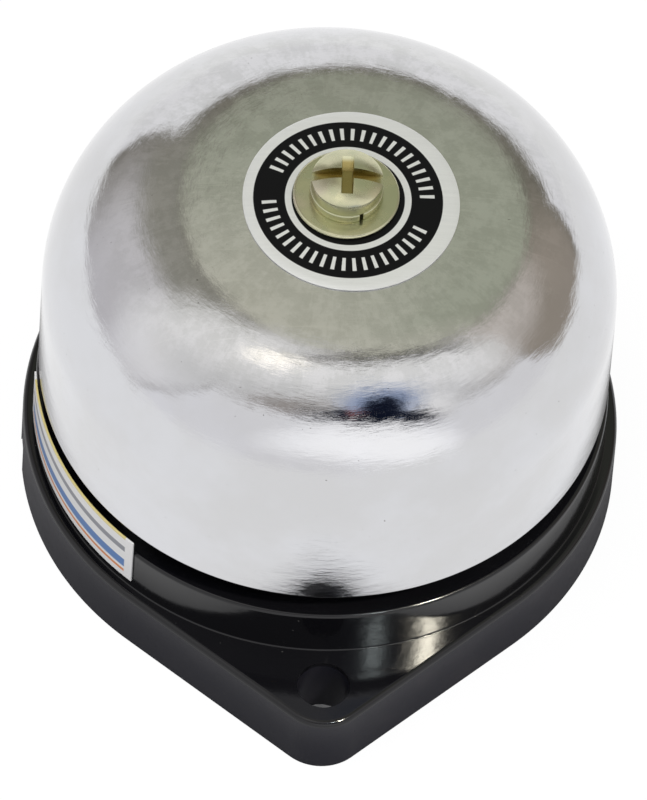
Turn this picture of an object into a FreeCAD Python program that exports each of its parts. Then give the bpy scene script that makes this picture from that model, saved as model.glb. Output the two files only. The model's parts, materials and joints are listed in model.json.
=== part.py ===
# Round alternating-current bell, 55 mm: a domed gong over a moulded base,
# rung from the inside by a plunger that a coil throws against the gong's wall.
# Millimetres. +Z points up, out of the gong. The origin is the centre of the base's
# underside, the two mounting ears lie along Y and the plunger moves along X.

import FreeCAD, Part
import math
import os
from types import SimpleNamespace

import Sketcher
from FreeCAD import Placement, Rotation, Vector

SIZES = {
    # Moulded base
    "flange_radius": 28.85,
    "flange_height": 7.2,
    "flange_rounding": 0.6,
    "ear_spacing": 63.5,
    "ear_radius": 4.6,
    "ear_hole_radius": 2.55,
    "drum_radius": 27.7,
    "drum_top": 12.9,
    "drum_rounding": 0.35,
    "drum_wall": 2.4,
    "deck_recess": 2.0,
    "deck_thickness": 2.4,
    "cavity_radius": 23.5,
    "wire_notch_width": 3.6,
    "wire_notch_height": 3.6,
    "wire_notch_y": -0.6,
    # Bottom cover and its two countersunk screws
    "cover_thickness": 1.5,
    "cover_recess": 0.3,
    "cover_ledge": 1.8,
    "cover_clearance": 0.2,
    "cover_screw_spacing": 38.0,
    "cover_screw_radius": 1.25,
    "cover_screw_head_radius": 2.4,
    "cover_screw_head_height": 1.15,
    "cover_screw_length": 6.0,
    "cover_boss_radius": 2.7,
    # Gong
    "gong_radius": 27.6,
    "gong_height": 28.0,
    "gong_gap": 2.8,
    "gong_wall": 1.8,
    "gong_shoulder_radius": 15.2,
    "gong_crown_radius": 110.0,
    "gong_seat_radius": 6.2,
    "gong_rim_rounding": 0.5,
    # The gong's hole is off its centre, so that turning the gong sets the striking gap
    "gong_hole_x": 0.9,
    "gong_hole_y": -0.35,
    "gong_hole_clearance": 0.2,
    # Screw, washers and pillar that hold the gong
    "screw_radius": 2.0,
    "screw_tip_gap": 0.6,
    "screw_head_radius": 3.4,
    "screw_head_side": 1.1,
    "screw_head_height": 2.5,
    "screw_slot_width": 1.2,
    "screw_slot_depth": 1.2,
    "screw_cross_length": 5.2,
    "screw_cross_depth": 1.6,
    "screw_turn": -2.0,
    "flat_washer_radius": 5.1,
    "flat_washer_thickness": 0.6,
    "flat_washer_bevel": 0.15,
    "lock_washer_radius": 3.5,
    "lock_washer_thickness": 1.0,
    "lock_washer_split": 0.35,
    "lock_washer_turn": -66.0,
    "fibre_washer_radius": 4.6,
    "fibre_washer_thickness": 0.8,
    "pillar_radius": 4.0,
    "pillar_spigot_radius": 2.5,
    "pillar_floor": 1.0,
    # Labels
    "ring_label_radius": 10.35,
    "ring_label_hole_radius": 4.0,
    "ring_label_thickness": 0.2,
    "ring_label_x": 0.5,
    "ring_label_y": -0.2,
    "ring_label_hole_x": 0.2,
    "ring_label_hole_y": -0.2,
    "side_label_bottom": 8.4,
    "side_label_height": 6.4,
    "side_label_thickness": 0.2,
    "side_label_turn": 182.0,
    "side_label_angle": 46.6,
    # Magnet frame
    "yoke_length": 25.0,
    "yoke_width": 16.0,
    "yoke_thickness": 1.6,
    "yoke_bend_radius": 2.1,
    "yoke_inside_height": 17.0,
    "yoke_tab_width": 6.0,
    "yoke_screw_spacing": 16.0,
    "yoke_screw_radius": 1.5,
    "yoke_screw_head_radius": 2.75,
    "yoke_screw_head_height": 1.9,
    "yoke_washer_radius": 3.2,
    "yoke_washer_thickness": 0.5,
    # Coil
    "bobbin_side": 16.4,
    "bobbin_flange": 1.0,
    "bobbin_wall": 0.8,
    "bobbin_end_clearance": 0.1,
    "winding_radius": 7.3,
    "tape_thickness": 0.3,
    "guide_wall": 0.5,
    "guide_overhang": 0.6,
    "coil_pin_radius": 0.4,
    "coil_pin_length": 2.5,
    "coil_pin_corner": 7.0,
    # Striker
    "plunger_radius": 3.2,
    "plunger_reach": 1.0,
    "push_rod_radius": 1.2,
    "push_rod_grip": 4.0,
    "striker_radius": 3.0,
    "striker_rounding": 1.0,
    "striker_socket": 4.5,
    "striker_travel": 2.5,
    "strike_clearance": 0.3,
    "stop_gap": 0.1,
    "rebound_washer_radius": 2.9,
    "rebound_washer_thickness": 1.2,
    "bush_flange_radius": 4.6,
    "bush_flange_thickness": 1.0,
    "bush_length": 4.0,
    "spring_length": 6.5,
    "spring_radius": 4.8,
    "spring_wire_radius": 0.3,
    "retainer_radius": 6.2,
    "retainer_thickness": 0.8,
    "clip_radius": 5.0,
    "clip_thickness": 0.8,
    "clip_groove_depth": 0.6,
    "clip_mouth": 3.6,
    "plunger_tail": 1.2,
    # Terminals, diode and leads under the deck
    "terminal_wall_gap": 0.35,
    "terminal_y": 9.0,
    "terminal_length": 10.0,
    "terminal_width": 7.0,
    "terminal_thickness": 0.8,
    "terminal_clamp_side": 6.4,
    "terminal_clamp_thickness": 0.8,
    "terminal_screw_radius": 1.5,
    "terminal_screw_head_radius": 2.7,
    "terminal_screw_head_height": 1.8,
    "terminal_screw_grip": 1.8,
    "lead_radius": 0.6,
    "lead_bend": 1.6,
    "lead_y": 10.4,
    "lead_hole_clearance": 0.3,
    "lead_run": 3.0,
    "lead_drop_gap": 2.4,
    "diode_radius": 1.35,
    "diode_length": 5.2,
    "diode_leg_radius": 0.4,
    "diode_standoff": 6.5,
    "diode_leg_length": 4.0,
    "diode_leg_lap": 1.2,
    # Fits
    "running_clearance": 0.08,
    "fit_clearance": 0.05,
    "slip_clearance": 0.2,
}

SPRING_TURNS = 4
PIECES_PER_TURN = 4
SAMPLES_PER_TURN = 48


class Size:
    # A number that remembers how it is worked out from the named sizes.
    def __init__(self, value, text):
        self.value = value
        self.text = text

    def __add__(self, other):
        return Size(self.value + number(other), f"({self.text} + {text(other)})")

    def __radd__(self, other):
        return Size(number(other) + self.value, f"({text(other)} + {self.text})")

    def __sub__(self, other):
        return Size(self.value - number(other), f"({self.text} - {text(other)})")

    def __rsub__(self, other):
        return Size(number(other) - self.value, f"({text(other)} - {self.text})")

    def __mul__(self, other):
        return Size(self.value * number(other), f"({self.text} * {text(other)})")

    __rmul__ = __mul__

    def __truediv__(self, other):
        return Size(self.value / number(other), f"({self.text} / {text(other)})")

    def __neg__(self):
        return Size(-self.value, f"(0 - {self.text})")

    def root(self):
        return Size(math.sqrt(self.value), f"sqrt({self.text})")


def number(amount):
    return amount.value if isinstance(amount, Size) else float(amount)


def text(amount):
    return amount.text if isinstance(amount, Size) else repr(amount)


doc = FreeCAD.newDocument("round_bell")
sheet = doc.addObject("Spreadsheet::Sheet", "Sizes")
for row, (size_name, amount) in enumerate(SIZES.items(), start=1):
    sheet.set(f"A{row}", size_name.replace("_", " "))
    sheet.set(f"B{row}", str(amount))
    sheet.setAlias(f"B{row}", size_name)
doc.recompute()

sizes = {name: Size(float(getattr(sheet, name)), f"Sizes.{name}") for name in SIZES}
nodes = {}


def give(item, prop, amount):
    if isinstance(amount, Size):
        item.setExpression(prop, amount.text)
    else:
        setattr(item, prop, amount)


AXES = {"X": Rotation(Vector(0, 1, 0), 90), "Y": Rotation(Vector(1, 0, 0), -90), "Z": Rotation()}


def place(item, x=0, y=0, z=0, along="Z", turn=0):
    # Puts an item's own origin at x, y, z, with its own Z axis along X, Y or Z.
    # A turn is about the item's own Z axis, in degrees.
    turned_by = Rotation(Vector(0, 0, 1), number(turn))
    spot = Vector(number(x), number(y), number(z))
    item.Placement = Placement(spot, AXES[along] * turned_by)
    for letter, amount in (("x", x), ("y", y), ("z", z)):
        if isinstance(amount, Size):
            item.setExpression(f"Placement.Base.{letter}", amount.text)
    return item


def cylinder(name, radius, height, x=0, y=0, z=0, along="Z"):
    item = doc.addObject("Part::Cylinder", name)
    give(item, "Radius", radius)
    give(item, "Height", height)
    return place(item, x, y, z, along)


def block(name, length, width, height, x=0, y=0, z=0, turn=0):
    # A box centred on x and y, standing on z.
    item = doc.addObject("Part::Box", name)
    give(item, "Length", length)
    give(item, "Width", width)
    give(item, "Height", height)
    if number(turn):
        half = Vector(-number(length) / 2, -number(width) / 2, 0)
        turned_by = Rotation(Vector(0, 0, 1), number(turn))
        spot = Vector(number(x), number(y), number(z)) + turned_by.multVec(half)
        item.Placement = Placement(spot, turned_by)
        return item
    return place(item, x - length / 2, y - width / 2, z)


def fuse(name, *pieces):
    item = doc.addObject("Part::MultiFuse", name)
    item.Shapes = list(pieces)
    return item


def cut(name, body, *tools):
    tool = tools[0] if len(tools) == 1 else fuse(f"{name}_tools", *tools)
    item = doc.addObject("Part::Cut", name)
    item.Base = body
    item.Tool = tool
    return item


def group(name, *pieces):
    item = doc.addObject("Part::Compound", name)
    item.Links = list(pieces)
    return item


def ring(name, outer, inner, height, x=0, y=0, z=0, along="Z"):
    # A flat washer or sleeve.
    disc = cylinder(f"{name}_disc", outer, height, x, y, z, along)
    return cut(name, disc, cylinder(f"{name}_hole", inner, height, x, y, z, along))


def arc_centre(start, end, radius, side):
    # The centre of an arc of that radius from start to end; side 1 turns left, -1 right.
    chord = end - start
    height = math.sqrt(max(radius ** 2 - chord.Length ** 2 / 4, 0))
    across = Vector(-chord.y, chord.x, 0).normalize()
    return (start + end) / 2 + across * height * side


def outline(body, name, plane, points, arcs=()):
    # A closed sketch through the points, each held to its place by its sizes.
    # arcs gives, for a point's number, the radius of the arc that leaves it and its side.
    sketch = body.newObject("Sketcher::SketchObject", name)
    support = next(f for f in body.Origin.OriginFeatures if f.Role == plane)
    sketch.AttachmentSupport = [(support, "")]
    sketch.MapMode = "FlatFace"
    arcs = dict(arcs)
    spots = [Vector(number(x), number(y), 0) for x, y in points]
    first = []
    last = []
    for index, start in enumerate(spots):
        end = spots[(index + 1) % len(spots)]
        if index not in arcs:
            sketch.addGeometry(Part.LineSegment(start, end), False)
            first.append(1)
            last.append(2)
            continue
        radius, side = arcs[index]
        centre = arc_centre(start, end, number(radius), side)
        circle = Part.Circle(centre, Vector(0, 0, 1), number(radius))
        angles = [math.atan2(p.y - centre.y, p.x - centre.x) for p in (start, end)]
        sketch.addGeometry(Part.ArcOfCircle(circle, *angles[::side]), False)
        first.append(1 if side == 1 else 2)
        last.append(2 if side == 1 else 1)
    for index, (x, y) in enumerate(points):
        before = index - 1 if index else len(points) - 1
        sketch.addConstraint(
            Sketcher.Constraint("Coincident", before, last[before], index, first[index]))
        for kind, amount, axis in (("DistanceX", x, -2), ("DistanceY", y, -1)):
            if isinstance(amount, Size):
                held = sketch.addConstraint(
                    Sketcher.Constraint(kind, -1, 1, index, first[index], amount.value))
                sketch.setExpression(f"Constraints[{held}]", amount.text)
            elif amount == 0:
                sketch.addConstraint(
                    Sketcher.Constraint("PointOnObject", index, first[index], axis))
            else:
                sketch.addConstraint(
                    Sketcher.Constraint(kind, -1, 1, index, first[index], float(amount)))
        if index in arcs:
            held = sketch.addConstraint(
                Sketcher.Constraint("Radius", index, number(arcs[index][0])))
            if isinstance(arcs[index][0], Size):
                sketch.setExpression(f"Constraints[{held}]", arcs[index][0].text)
    return sketch


def turned(name, points, arcs=(), x=0, y=0, z=0, along="Z", turn=0):
    # A body of revolution: points are radius and height about its own Z axis.
    body = doc.addObject("PartDesign::Body", name)
    sketch = outline(body, f"{name}_profile", "XZ_Plane", points, arcs)
    revolution = body.newObject("PartDesign::Revolution", f"{name}_turned")
    revolution.Profile = sketch
    revolution.ReferenceAxis = (sketch, ["V_Axis"])
    revolution.Angle = 360
    body.Tip = revolution
    return place(body, x, y, z, along, turn)


def padded(body, name, points, height, arcs=(), plane="XY_Plane", middle=False):
    sketch = outline(body, f"{name}_outline", plane, points, arcs)
    pad = body.newObject("PartDesign::Pad", name)
    pad.Profile = sketch
    give(pad, "Length", height)
    pad.SideType = "Symmetric" if middle else "One side"
    body.Tip = pad
    return pad


def round_pad(body, name, radius, height):
    sketch = body.newObject("Sketcher::SketchObject", f"{name}_outline")
    support = next(f for f in body.Origin.OriginFeatures if f.Role == "XY_Plane")
    sketch.AttachmentSupport = [(support, "")]
    sketch.MapMode = "FlatFace"
    sketch.addGeometry(Part.Circle(Vector(), Vector(0, 0, 1), radius.value), False)
    sketch.addConstraint(Sketcher.Constraint("Coincident", 0, 3, -1, 1))
    held = sketch.addConstraint(Sketcher.Constraint("Radius", 0, radius.value))
    sketch.setExpression(f"Constraints[{held}]", radius.text)
    pad = body.newObject("PartDesign::Pad", name)
    pad.Profile = sketch
    give(pad, "Length", height)
    body.Tip = pad
    return pad


def rounded(body, name, radius, height):
    # Rounds the body's edges that lie flat at a height.
    doc.recompute()
    last = body.Tip
    level = number(height)
    near = 0.001
    edges = []
    for index, edge in enumerate(last.Shape.Edges, start=1):
        box = edge.BoundBox
        if abs(box.ZMin - level) < near and abs(box.ZMax - level) < near:
            edges.append(f"Edge{index}")
    fillet = body.newObject("PartDesign::Fillet", name)
    fillet.Base = (last, edges)
    give(fillet, "Radius", radius)
    body.Tip = fillet
    return fillet


def solid_feature(name, shape):
    item = doc.addObject("Part::Feature", name)
    item.Shape = shape
    item.Placement = Placement()
    return item


def keep(name, item):
    item.Label = name
    nodes[name] = item


size = SimpleNamespace(**sizes)

# Heights that the pieces share
deck_top = size.drum_top - size.deck_recess
cavity_top = deck_top - size.deck_thickness
cover_top = size.cover_recess + size.cover_thickness
yoke_floor = deck_top + size.yoke_thickness
yoke_end_top = yoke_floor + size.yoke_inside_height
yoke_top = yoke_end_top + size.yoke_thickness
axis_height = yoke_floor + size.yoke_inside_height / 2
pin_height = axis_height - size.coil_pin_corner
rim_height = size.drum_top + size.gong_gap
gong_top = rim_height + size.gong_height
pillar_top = gong_top - size.gong_wall - size.fibre_washer_thickness
# The crown is part of a sphere through the edge of the flat seat at its top
crown_centre = gong_top - (
    size.gong_crown_radius * size.gong_crown_radius
    - size.gong_seat_radius * size.gong_seat_radius
).root()
label_top = gong_top + size.ring_label_thickness

# The pillar's axis, and places along X from it outwards
pillar_x = size.gong_hole_x
pillar_y = size.gong_hole_y
yoke_front = pillar_x + size.yoke_length / 2
yoke_back = pillar_x - size.yoke_length / 2
guide_front = yoke_front + size.guide_overhang
guide_back = yoke_back - size.guide_overhang
gong_inside = size.gong_radius - size.gong_wall
striker_end = gong_inside - size.strike_clearance - size.striker_travel
washer_back = guide_front + size.bush_flange_thickness + size.stop_gap
striker_back = washer_back + size.rebound_washer_thickness
retainer_front = yoke_back - size.spring_length
clip_front = retainer_front - size.retainer_thickness
plunger_back = clip_front - size.clip_thickness - size.plunger_tail
plunger_front = pillar_x + size.plunger_reach
guide_bore = size.plunger_radius + size.running_clearance
guide_outside = guide_bore + size.guide_wall
yoke_screw_x = size.yoke_screw_spacing / 2
cover_screw_y = size.cover_screw_spacing / 2
ear_y = size.ear_spacing / 2

# Places in the cavity: the terminal plates' outer corners reach to its wall
terminal_corner = size.cavity_radius - size.terminal_wall_gap
terminal_side = size.terminal_y + size.terminal_width / 2
terminal_back = -(terminal_corner * terminal_corner - terminal_side * terminal_side).root()
terminal_x = terminal_back + size.terminal_length / 2
terminal_front = terminal_back + size.terminal_length
diode_x = terminal_front + size.diode_standoff
diode_front = diode_x + size.diode_length / 2 + size.diode_leg_length
coil_back = yoke_back + size.yoke_thickness + size.bobbin_end_clearance
pin_end = coil_back + size.bobbin_flange + size.coil_pin_length
left_lead_x = pin_end + size.lead_run
right_lead_x = diode_front + size.lead_drop_gap


def countersunk(name, clearance, length, x, y, z):
    # A flat-headed screw pointing up, or with a clearance, the hole it sits in.
    shank = size.cover_screw_radius + clearance
    head = size.cover_screw_head_radius + clearance
    points = [
        (0, 0),
        (head, 0),
        (shank, size.cover_screw_head_height),
        (shank, length),
        (0, length),
    ]
    return turned(name, points, x=x, y=y, z=z)


def make_base():
    body = doc.addObject("PartDesign::Body", "moulding")
    # The ears' sides are tangent to the flange and to the ears' round ends.
    lean = (size.flange_radius - size.ear_radius) / ear_y
    square = (1 - lean * lean).root()
    flange_x = size.flange_radius * square
    flange_y = size.flange_radius * lean
    nose_x = size.ear_radius * square
    nose_y = ear_y + size.ear_radius * lean
    points = [
        (flange_x, -flange_y),
        (flange_x, flange_y),
        (nose_x, nose_y),
        (-nose_x, nose_y),
        (-flange_x, flange_y),
        (-flange_x, -flange_y),
        (-nose_x, -nose_y),
        (nose_x, -nose_y),
    ]
    round_ends = {0: size.flange_radius, 2: size.ear_radius,
                  4: size.flange_radius, 6: size.ear_radius}
    arcs = {index: (radius, 1) for index, radius in round_ends.items()}
    padded(body, "flange", points, size.flange_height, arcs)
    rounded(body, "flange_edge", size.flange_rounding, size.flange_height)
    round_pad(body, "drum", size.drum_radius, size.drum_top)
    rounded(body, "drum_edge", size.drum_rounding, size.drum_top)

    recess = size.drum_radius - size.drum_wall
    seat = size.cavity_radius + size.cover_ledge
    hollow = cut(
        "hollow_moulding",
        body,
        cylinder("deck_hollow", recess, size.deck_recess, z=deck_top),
        cylinder("cavity_hollow", size.cavity_radius, cavity_top),
        cylinder("cover_seat", seat, cover_top),
    )
    bosses = [
        cylinder(f"cover_boss_{index}", size.cover_boss_radius, cavity_top - cover_top,
                 y=cover_screw_y * side, z=cover_top)
        for index, side in enumerate((-1, 1), start=1)
    ]
    holes = [
        block("wire_notch", size.flange_radius - size.cavity_radius + 2 * size.cover_ledge,
              size.wire_notch_width, size.wire_notch_height,
              x=-(size.flange_radius + size.cavity_radius) / 2, y=size.wire_notch_y),
    ]
    for index, side in enumerate((-1, 1), start=1):
        holes += [
            cylinder(f"ear_hole_{index}", size.ear_hole_radius, size.flange_height,
                     y=ear_y * side),
            cylinder(f"cover_screw_hole_{index}", size.cover_screw_radius + size.fit_clearance,
                     size.cover_screw_length, y=cover_screw_y * side, z=size.cover_recess),
            cylinder(f"yoke_screw_hole_{index}", size.yoke_screw_radius + size.slip_clearance,
                     size.deck_thickness, x=pillar_x + yoke_screw_x * side, z=cavity_top),
            cylinder(f"terminal_hole_{index}", size.terminal_screw_radius + size.fit_clearance,
                     size.terminal_screw_grip + size.slip_clearance,
                     x=terminal_x, y=size.terminal_y * side, z=cavity_top),
            cylinder(f"lead_hole_{index}", size.lead_radius + size.lead_hole_clearance,
                     size.deck_thickness, x=left_lead_x if side < 0 else right_lead_x,
                     y=size.lead_y * side, z=cavity_top),
        ]
    keep("base_moulding", cut("base_moulding", fuse("bossed_moulding", hollow, *bosses), *holes))


def make_cover():
    radius = size.cavity_radius + size.cover_ledge - size.cover_clearance
    disc = cylinder("cover_disc", radius, size.cover_thickness, z=size.cover_recess)
    holes = []
    screws = []
    for index, side in enumerate((-1, 1), start=1):
        y = cover_screw_y * side
        holes.append(countersunk(f"cover_hole_{index}", size.fit_clearance,
                                 size.cover_screw_length, 0, y, size.cover_recess))
        screw = countersunk(f"cover_screw_{index}", 0,
                            size.cover_screw_length - size.slip_clearance, 0, y,
                            size.cover_recess)
        slot = block(f"cover_screw_slot_{index}", 2 * size.cover_screw_head_radius,
                     size.screw_slot_width / 2, size.cover_screw_head_height / 2,
                     y=y, z=size.cover_recess)
        screws.append(cut(f"slotted_cover_screw_{index}", screw, slot))
    keep("bottom_cover", cut("bottom_cover", disc, *holes))
    keep("cover_screws", group("cover_screws", *screws))


def gong_profile():
    # The wall stands straight, then a shoulder arc and a crown arc lead to a flat seat.
    seat_y = crown_centre - rim_height
    centre_x = size.gong_radius - size.gong_shoulder_radius
    reach = size.gong_crown_radius - size.gong_shoulder_radius
    rise = (reach * reach - centre_x * centre_x).root()
    centre_y = seat_y + rise
    points = []
    for inset in (0, size.gong_wall):
        shoulder = size.gong_shoulder_radius - inset
        crown = size.gong_crown_radius - inset
        join = (centre_x + centre_x / reach * shoulder, centre_y + rise / reach * shoulder)
        seat_radius = size.gong_seat_radius
        seat = seat_y + (crown * crown - seat_radius * seat_radius).root()
        points.append([
            (size.gong_radius - inset, 0),
            (size.gong_radius - inset, centre_y),
            join,
            (seat_radius, seat),
        ])
    outer, inner = points
    top = [(0, size.gong_height), (0, size.gong_height - size.gong_wall)]
    flat_inner = (inner[3][0], size.gong_height - size.gong_wall)
    loop = outer[:3] + [(outer[3][0], size.gong_height)] + top + [flat_inner]
    loop += [inner[2], inner[1], inner[0]]
    arcs = {
        1: (size.gong_shoulder_radius, 1),
        2: (size.gong_crown_radius, 1),
        6: (size.gong_crown_radius - size.gong_wall, -1),
        7: (size.gong_shoulder_radius - size.gong_wall, -1),
    }
    return loop, arcs


def make_gong():
    points, arcs = gong_profile()
    body = turned("gong_shell", points, arcs, z=rim_height)
    rounded(body, "rim_edge", size.gong_rim_rounding, 0)
    hole = cylinder("gong_hole", size.screw_radius + size.gong_hole_clearance,
                    size.gong_wall, x=pillar_x, y=pillar_y, z=gong_top - size.gong_wall)
    keep("gong", cut("gong", body, hole))


def make_gong_fixing():
    hole = size.screw_radius + size.gong_hole_clearance
    keep("gong_fibre_washer", ring("gong_fibre_washer", size.fibre_washer_radius, hole,
                                   size.fibre_washer_thickness, x=pillar_x, y=pillar_y,
                                   z=pillar_top))
    bevel = size.flat_washer_bevel
    points = [
        (hole, 0),
        (size.flat_washer_radius - bevel, 0),
        (size.flat_washer_radius, bevel),
        (size.flat_washer_radius, size.flat_washer_thickness - bevel),
        (size.flat_washer_radius - bevel, size.flat_washer_thickness),
        (hole, size.flat_washer_thickness),
    ]
    keep("flat_washer", turned("flat_washer", points, x=pillar_x, y=pillar_y, z=label_top))

    lock_bottom = label_top + size.flat_washer_thickness
    whole = ring("lock_washer_ring", size.lock_washer_radius, hole,
                 size.lock_washer_thickness, x=pillar_x, y=pillar_y, z=lock_bottom)
    half = size.lock_washer_radius / 2
    turn = math.radians(size.lock_washer_turn.value)
    split = block("lock_washer_gap", size.lock_washer_radius, size.lock_washer_split,
                  size.lock_washer_thickness, x=pillar_x + half * math.cos(turn),
                  y=pillar_y + half * math.sin(turn), z=lock_bottom,
                  turn=size.lock_washer_turn)
    keep("lock_washer", cut("lock_washer", whole, split))

    head_bottom = lock_bottom + size.lock_washer_thickness
    height = pillar_top - yoke_top
    bore_depth = height - size.pillar_floor
    length = head_bottom - pillar_top + bore_depth - size.screw_tip_gap
    rise = size.screw_head_height - size.screw_head_side
    dome = (size.screw_head_radius * size.screw_head_radius + rise * rise) / (2 * rise)
    points = [
        (0, -length),
        (size.screw_radius, -length),
        (size.screw_radius, 0),
        (size.screw_head_radius, 0),
        (size.screw_head_radius, size.screw_head_side),
        (0, size.screw_head_height),
    ]
    blank = turned("gong_screw_blank", points, {4: (dome, 1)}, x=pillar_x, y=pillar_y,
                   z=head_bottom)
    top = head_bottom + size.screw_head_height
    slot = block("gong_screw_slot", 3 * size.screw_head_radius, size.screw_slot_width,
                 size.screw_slot_depth, x=pillar_x, y=pillar_y,
                 z=top - size.screw_slot_depth, turn=size.screw_turn)
    cross = block("gong_screw_cross", size.screw_slot_width, size.screw_cross_length,
                  size.screw_cross_depth, x=pillar_x, y=pillar_y,
                  z=top - size.screw_cross_depth, turn=size.screw_turn)
    keep("gong_screw", cut("gong_screw", blank, slot, cross))

    bore = size.screw_radius + size.fit_clearance
    points = [
        (0, -size.yoke_thickness),
        (size.pillar_spigot_radius, -size.yoke_thickness),
        (size.pillar_spigot_radius, 0),
        (size.pillar_radius, 0),
        (size.pillar_radius, height),
        (bore, height),
        (bore, height - bore_depth),
        (0, height - bore_depth),
    ]
    keep("gong_pillar", turned("gong_pillar", points, x=pillar_x, y=pillar_y, z=yoke_top))


def make_labels():
    # The ring label follows the crown, lies flat on the seat and is a little off the screw.
    x = pillar_x + size.ring_label_x
    y = pillar_y + size.ring_label_y
    layers = []
    for name, share, lift in (("top", 1, size.ring_label_thickness), ("back", 2, 0)):
        radius = size.ring_label_radius * share
        ball = doc.addObject("Part::Sphere", f"ring_label_{name}_ball")
        give(ball, "Radius", size.gong_crown_radius + lift)
        layer = doc.addObject("Part::Common", f"ring_label_{name}")
        layer.Base = place(ball, z=crown_centre)
        layer.Tool = cylinder(f"ring_label_{name}_disc", radius, radius / 4 + lift,
                              x=x, y=y, z=gong_top - radius / 4)
        layers.append(layer)
    hole = cylinder("ring_label_hole", size.ring_label_hole_radius, size.ring_label_radius / 2,
                    x=pillar_x + size.ring_label_hole_x, y=pillar_y + size.ring_label_hole_y,
                    z=gong_top - size.ring_label_radius / 4)
    keep("ring_label", cut("ring_label", *layers, hole))

    back = size.drum_radius + size.fit_clearance
    sectors = []
    for name, radius in (("face", back + size.side_label_thickness), ("back", back)):
        sector = cylinder(f"side_label_{name}", radius, size.side_label_height)
        give(sector, "Angle", size.side_label_angle)
        place(sector, z=size.side_label_bottom, turn=size.side_label_turn)
        sectors.append(sector)
    keep("side_label", cut("side_label", *sectors))


def make_yoke():
    half = size.yoke_length / 2
    sheet_metal = size.yoke_thickness
    bend = size.yoke_bend_radius
    inner_bend = bend - sheet_metal
    top = sheet_metal + size.yoke_inside_height
    points = [
        (bend - half, 0),
        (half - bend, 0),
        (half, bend),
        (half, top),
        (half - sheet_metal, top),
        (half - sheet_metal, bend),
        (half - bend, sheet_metal),
        (bend - half, sheet_metal),
        (sheet_metal - half, bend),
        (sheet_metal - half, top),
        (-half, top),
        (-half, bend),
    ]
    arcs = {1: (bend, 1), 5: (inner_bend, -1), 7: (inner_bend, -1), 11: (bend, 1)}
    body = doc.addObject("PartDesign::Body", "bent_strip")
    padded(body, "strip", points, size.yoke_width, arcs, "XZ_Plane", middle=True)
    place(body, x=pillar_x, z=deck_top)
    tabs = [
        block(f"yoke_tab_{index}", sheet_metal, size.yoke_tab_width, sheet_metal,
              x=pillar_x + (half - sheet_metal / 2) * side, z=yoke_end_top)
        for index, side in enumerate((-1, 1), start=1)
    ]
    holes = [cylinder("yoke_guide_hole", guide_outside + size.fit_clearance, size.yoke_length,
                      x=yoke_back, z=axis_height, along="X")]
    holes += [
        cylinder(f"yoke_thread_{index}", size.yoke_screw_radius + size.fit_clearance,
                 sheet_metal, x=pillar_x + yoke_screw_x * side, z=deck_top)
        for index, side in enumerate((-1, 1), start=1)
    ]
    keep("magnet_yoke", cut("magnet_yoke", fuse("tabbed_strip", body, *tabs), *holes))

    plate = block("top_plate_blank", size.yoke_length, size.yoke_width, sheet_metal,
                  x=pillar_x, z=yoke_end_top)
    holes = [
        block(f"tab_slot_{index}", sheet_metal + size.fit_clearance,
              size.yoke_tab_width + 2 * size.fit_clearance, sheet_metal,
              x=pillar_x + (half - (sheet_metal - size.fit_clearance) / 2) * side,
              z=yoke_end_top)
        for index, side in enumerate((-1, 1), start=1)
    ]
    holes.append(cylinder("spigot_hole", size.pillar_spigot_radius + size.fit_clearance,
                          sheet_metal, x=pillar_x, y=pillar_y, z=yoke_end_top))
    keep("yoke_top_plate", cut("yoke_top_plate", plate, *holes))

    washers = []
    screws = []
    washer_bottom = cavity_top - size.yoke_washer_thickness
    for index, side in enumerate((-1, 1), start=1):
        x = pillar_x + yoke_screw_x * side
        washers.append(ring(f"yoke_screw_washer_{index}", size.yoke_washer_radius,
                            size.yoke_screw_radius + size.slip_clearance,
                            size.yoke_washer_thickness, x=x, z=washer_bottom))
        screws.append(slotted_screw(f"yoke_screw_{index}", size.yoke_screw_radius,
                                    yoke_floor - washer_bottom,
                                    size.yoke_screw_head_radius,
                                    size.yoke_screw_head_height, x, 0, washer_bottom))
    keep("yoke_screw_washers", group("yoke_screw_washers", *washers))
    keep("yoke_screws", group("yoke_screws", *screws))


def slotted_screw(name, radius, length, head_radius, head_height, x, y, z):
    # A screw that points up, with its head hanging below z.
    shank = cylinder(f"{name}_shank", radius, length, x=x, y=y, z=z)
    head = cylinder(f"{name}_head", head_radius, head_height, x=x, y=y, z=z - head_height)
    slot = block(f"{name}_slot", 2 * head_radius, size.screw_slot_width, head_height / 2,
                 x=x, y=y, z=z - head_height)
    return cut(name, fuse(f"{name}_blank", shank, head), slot)


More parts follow.
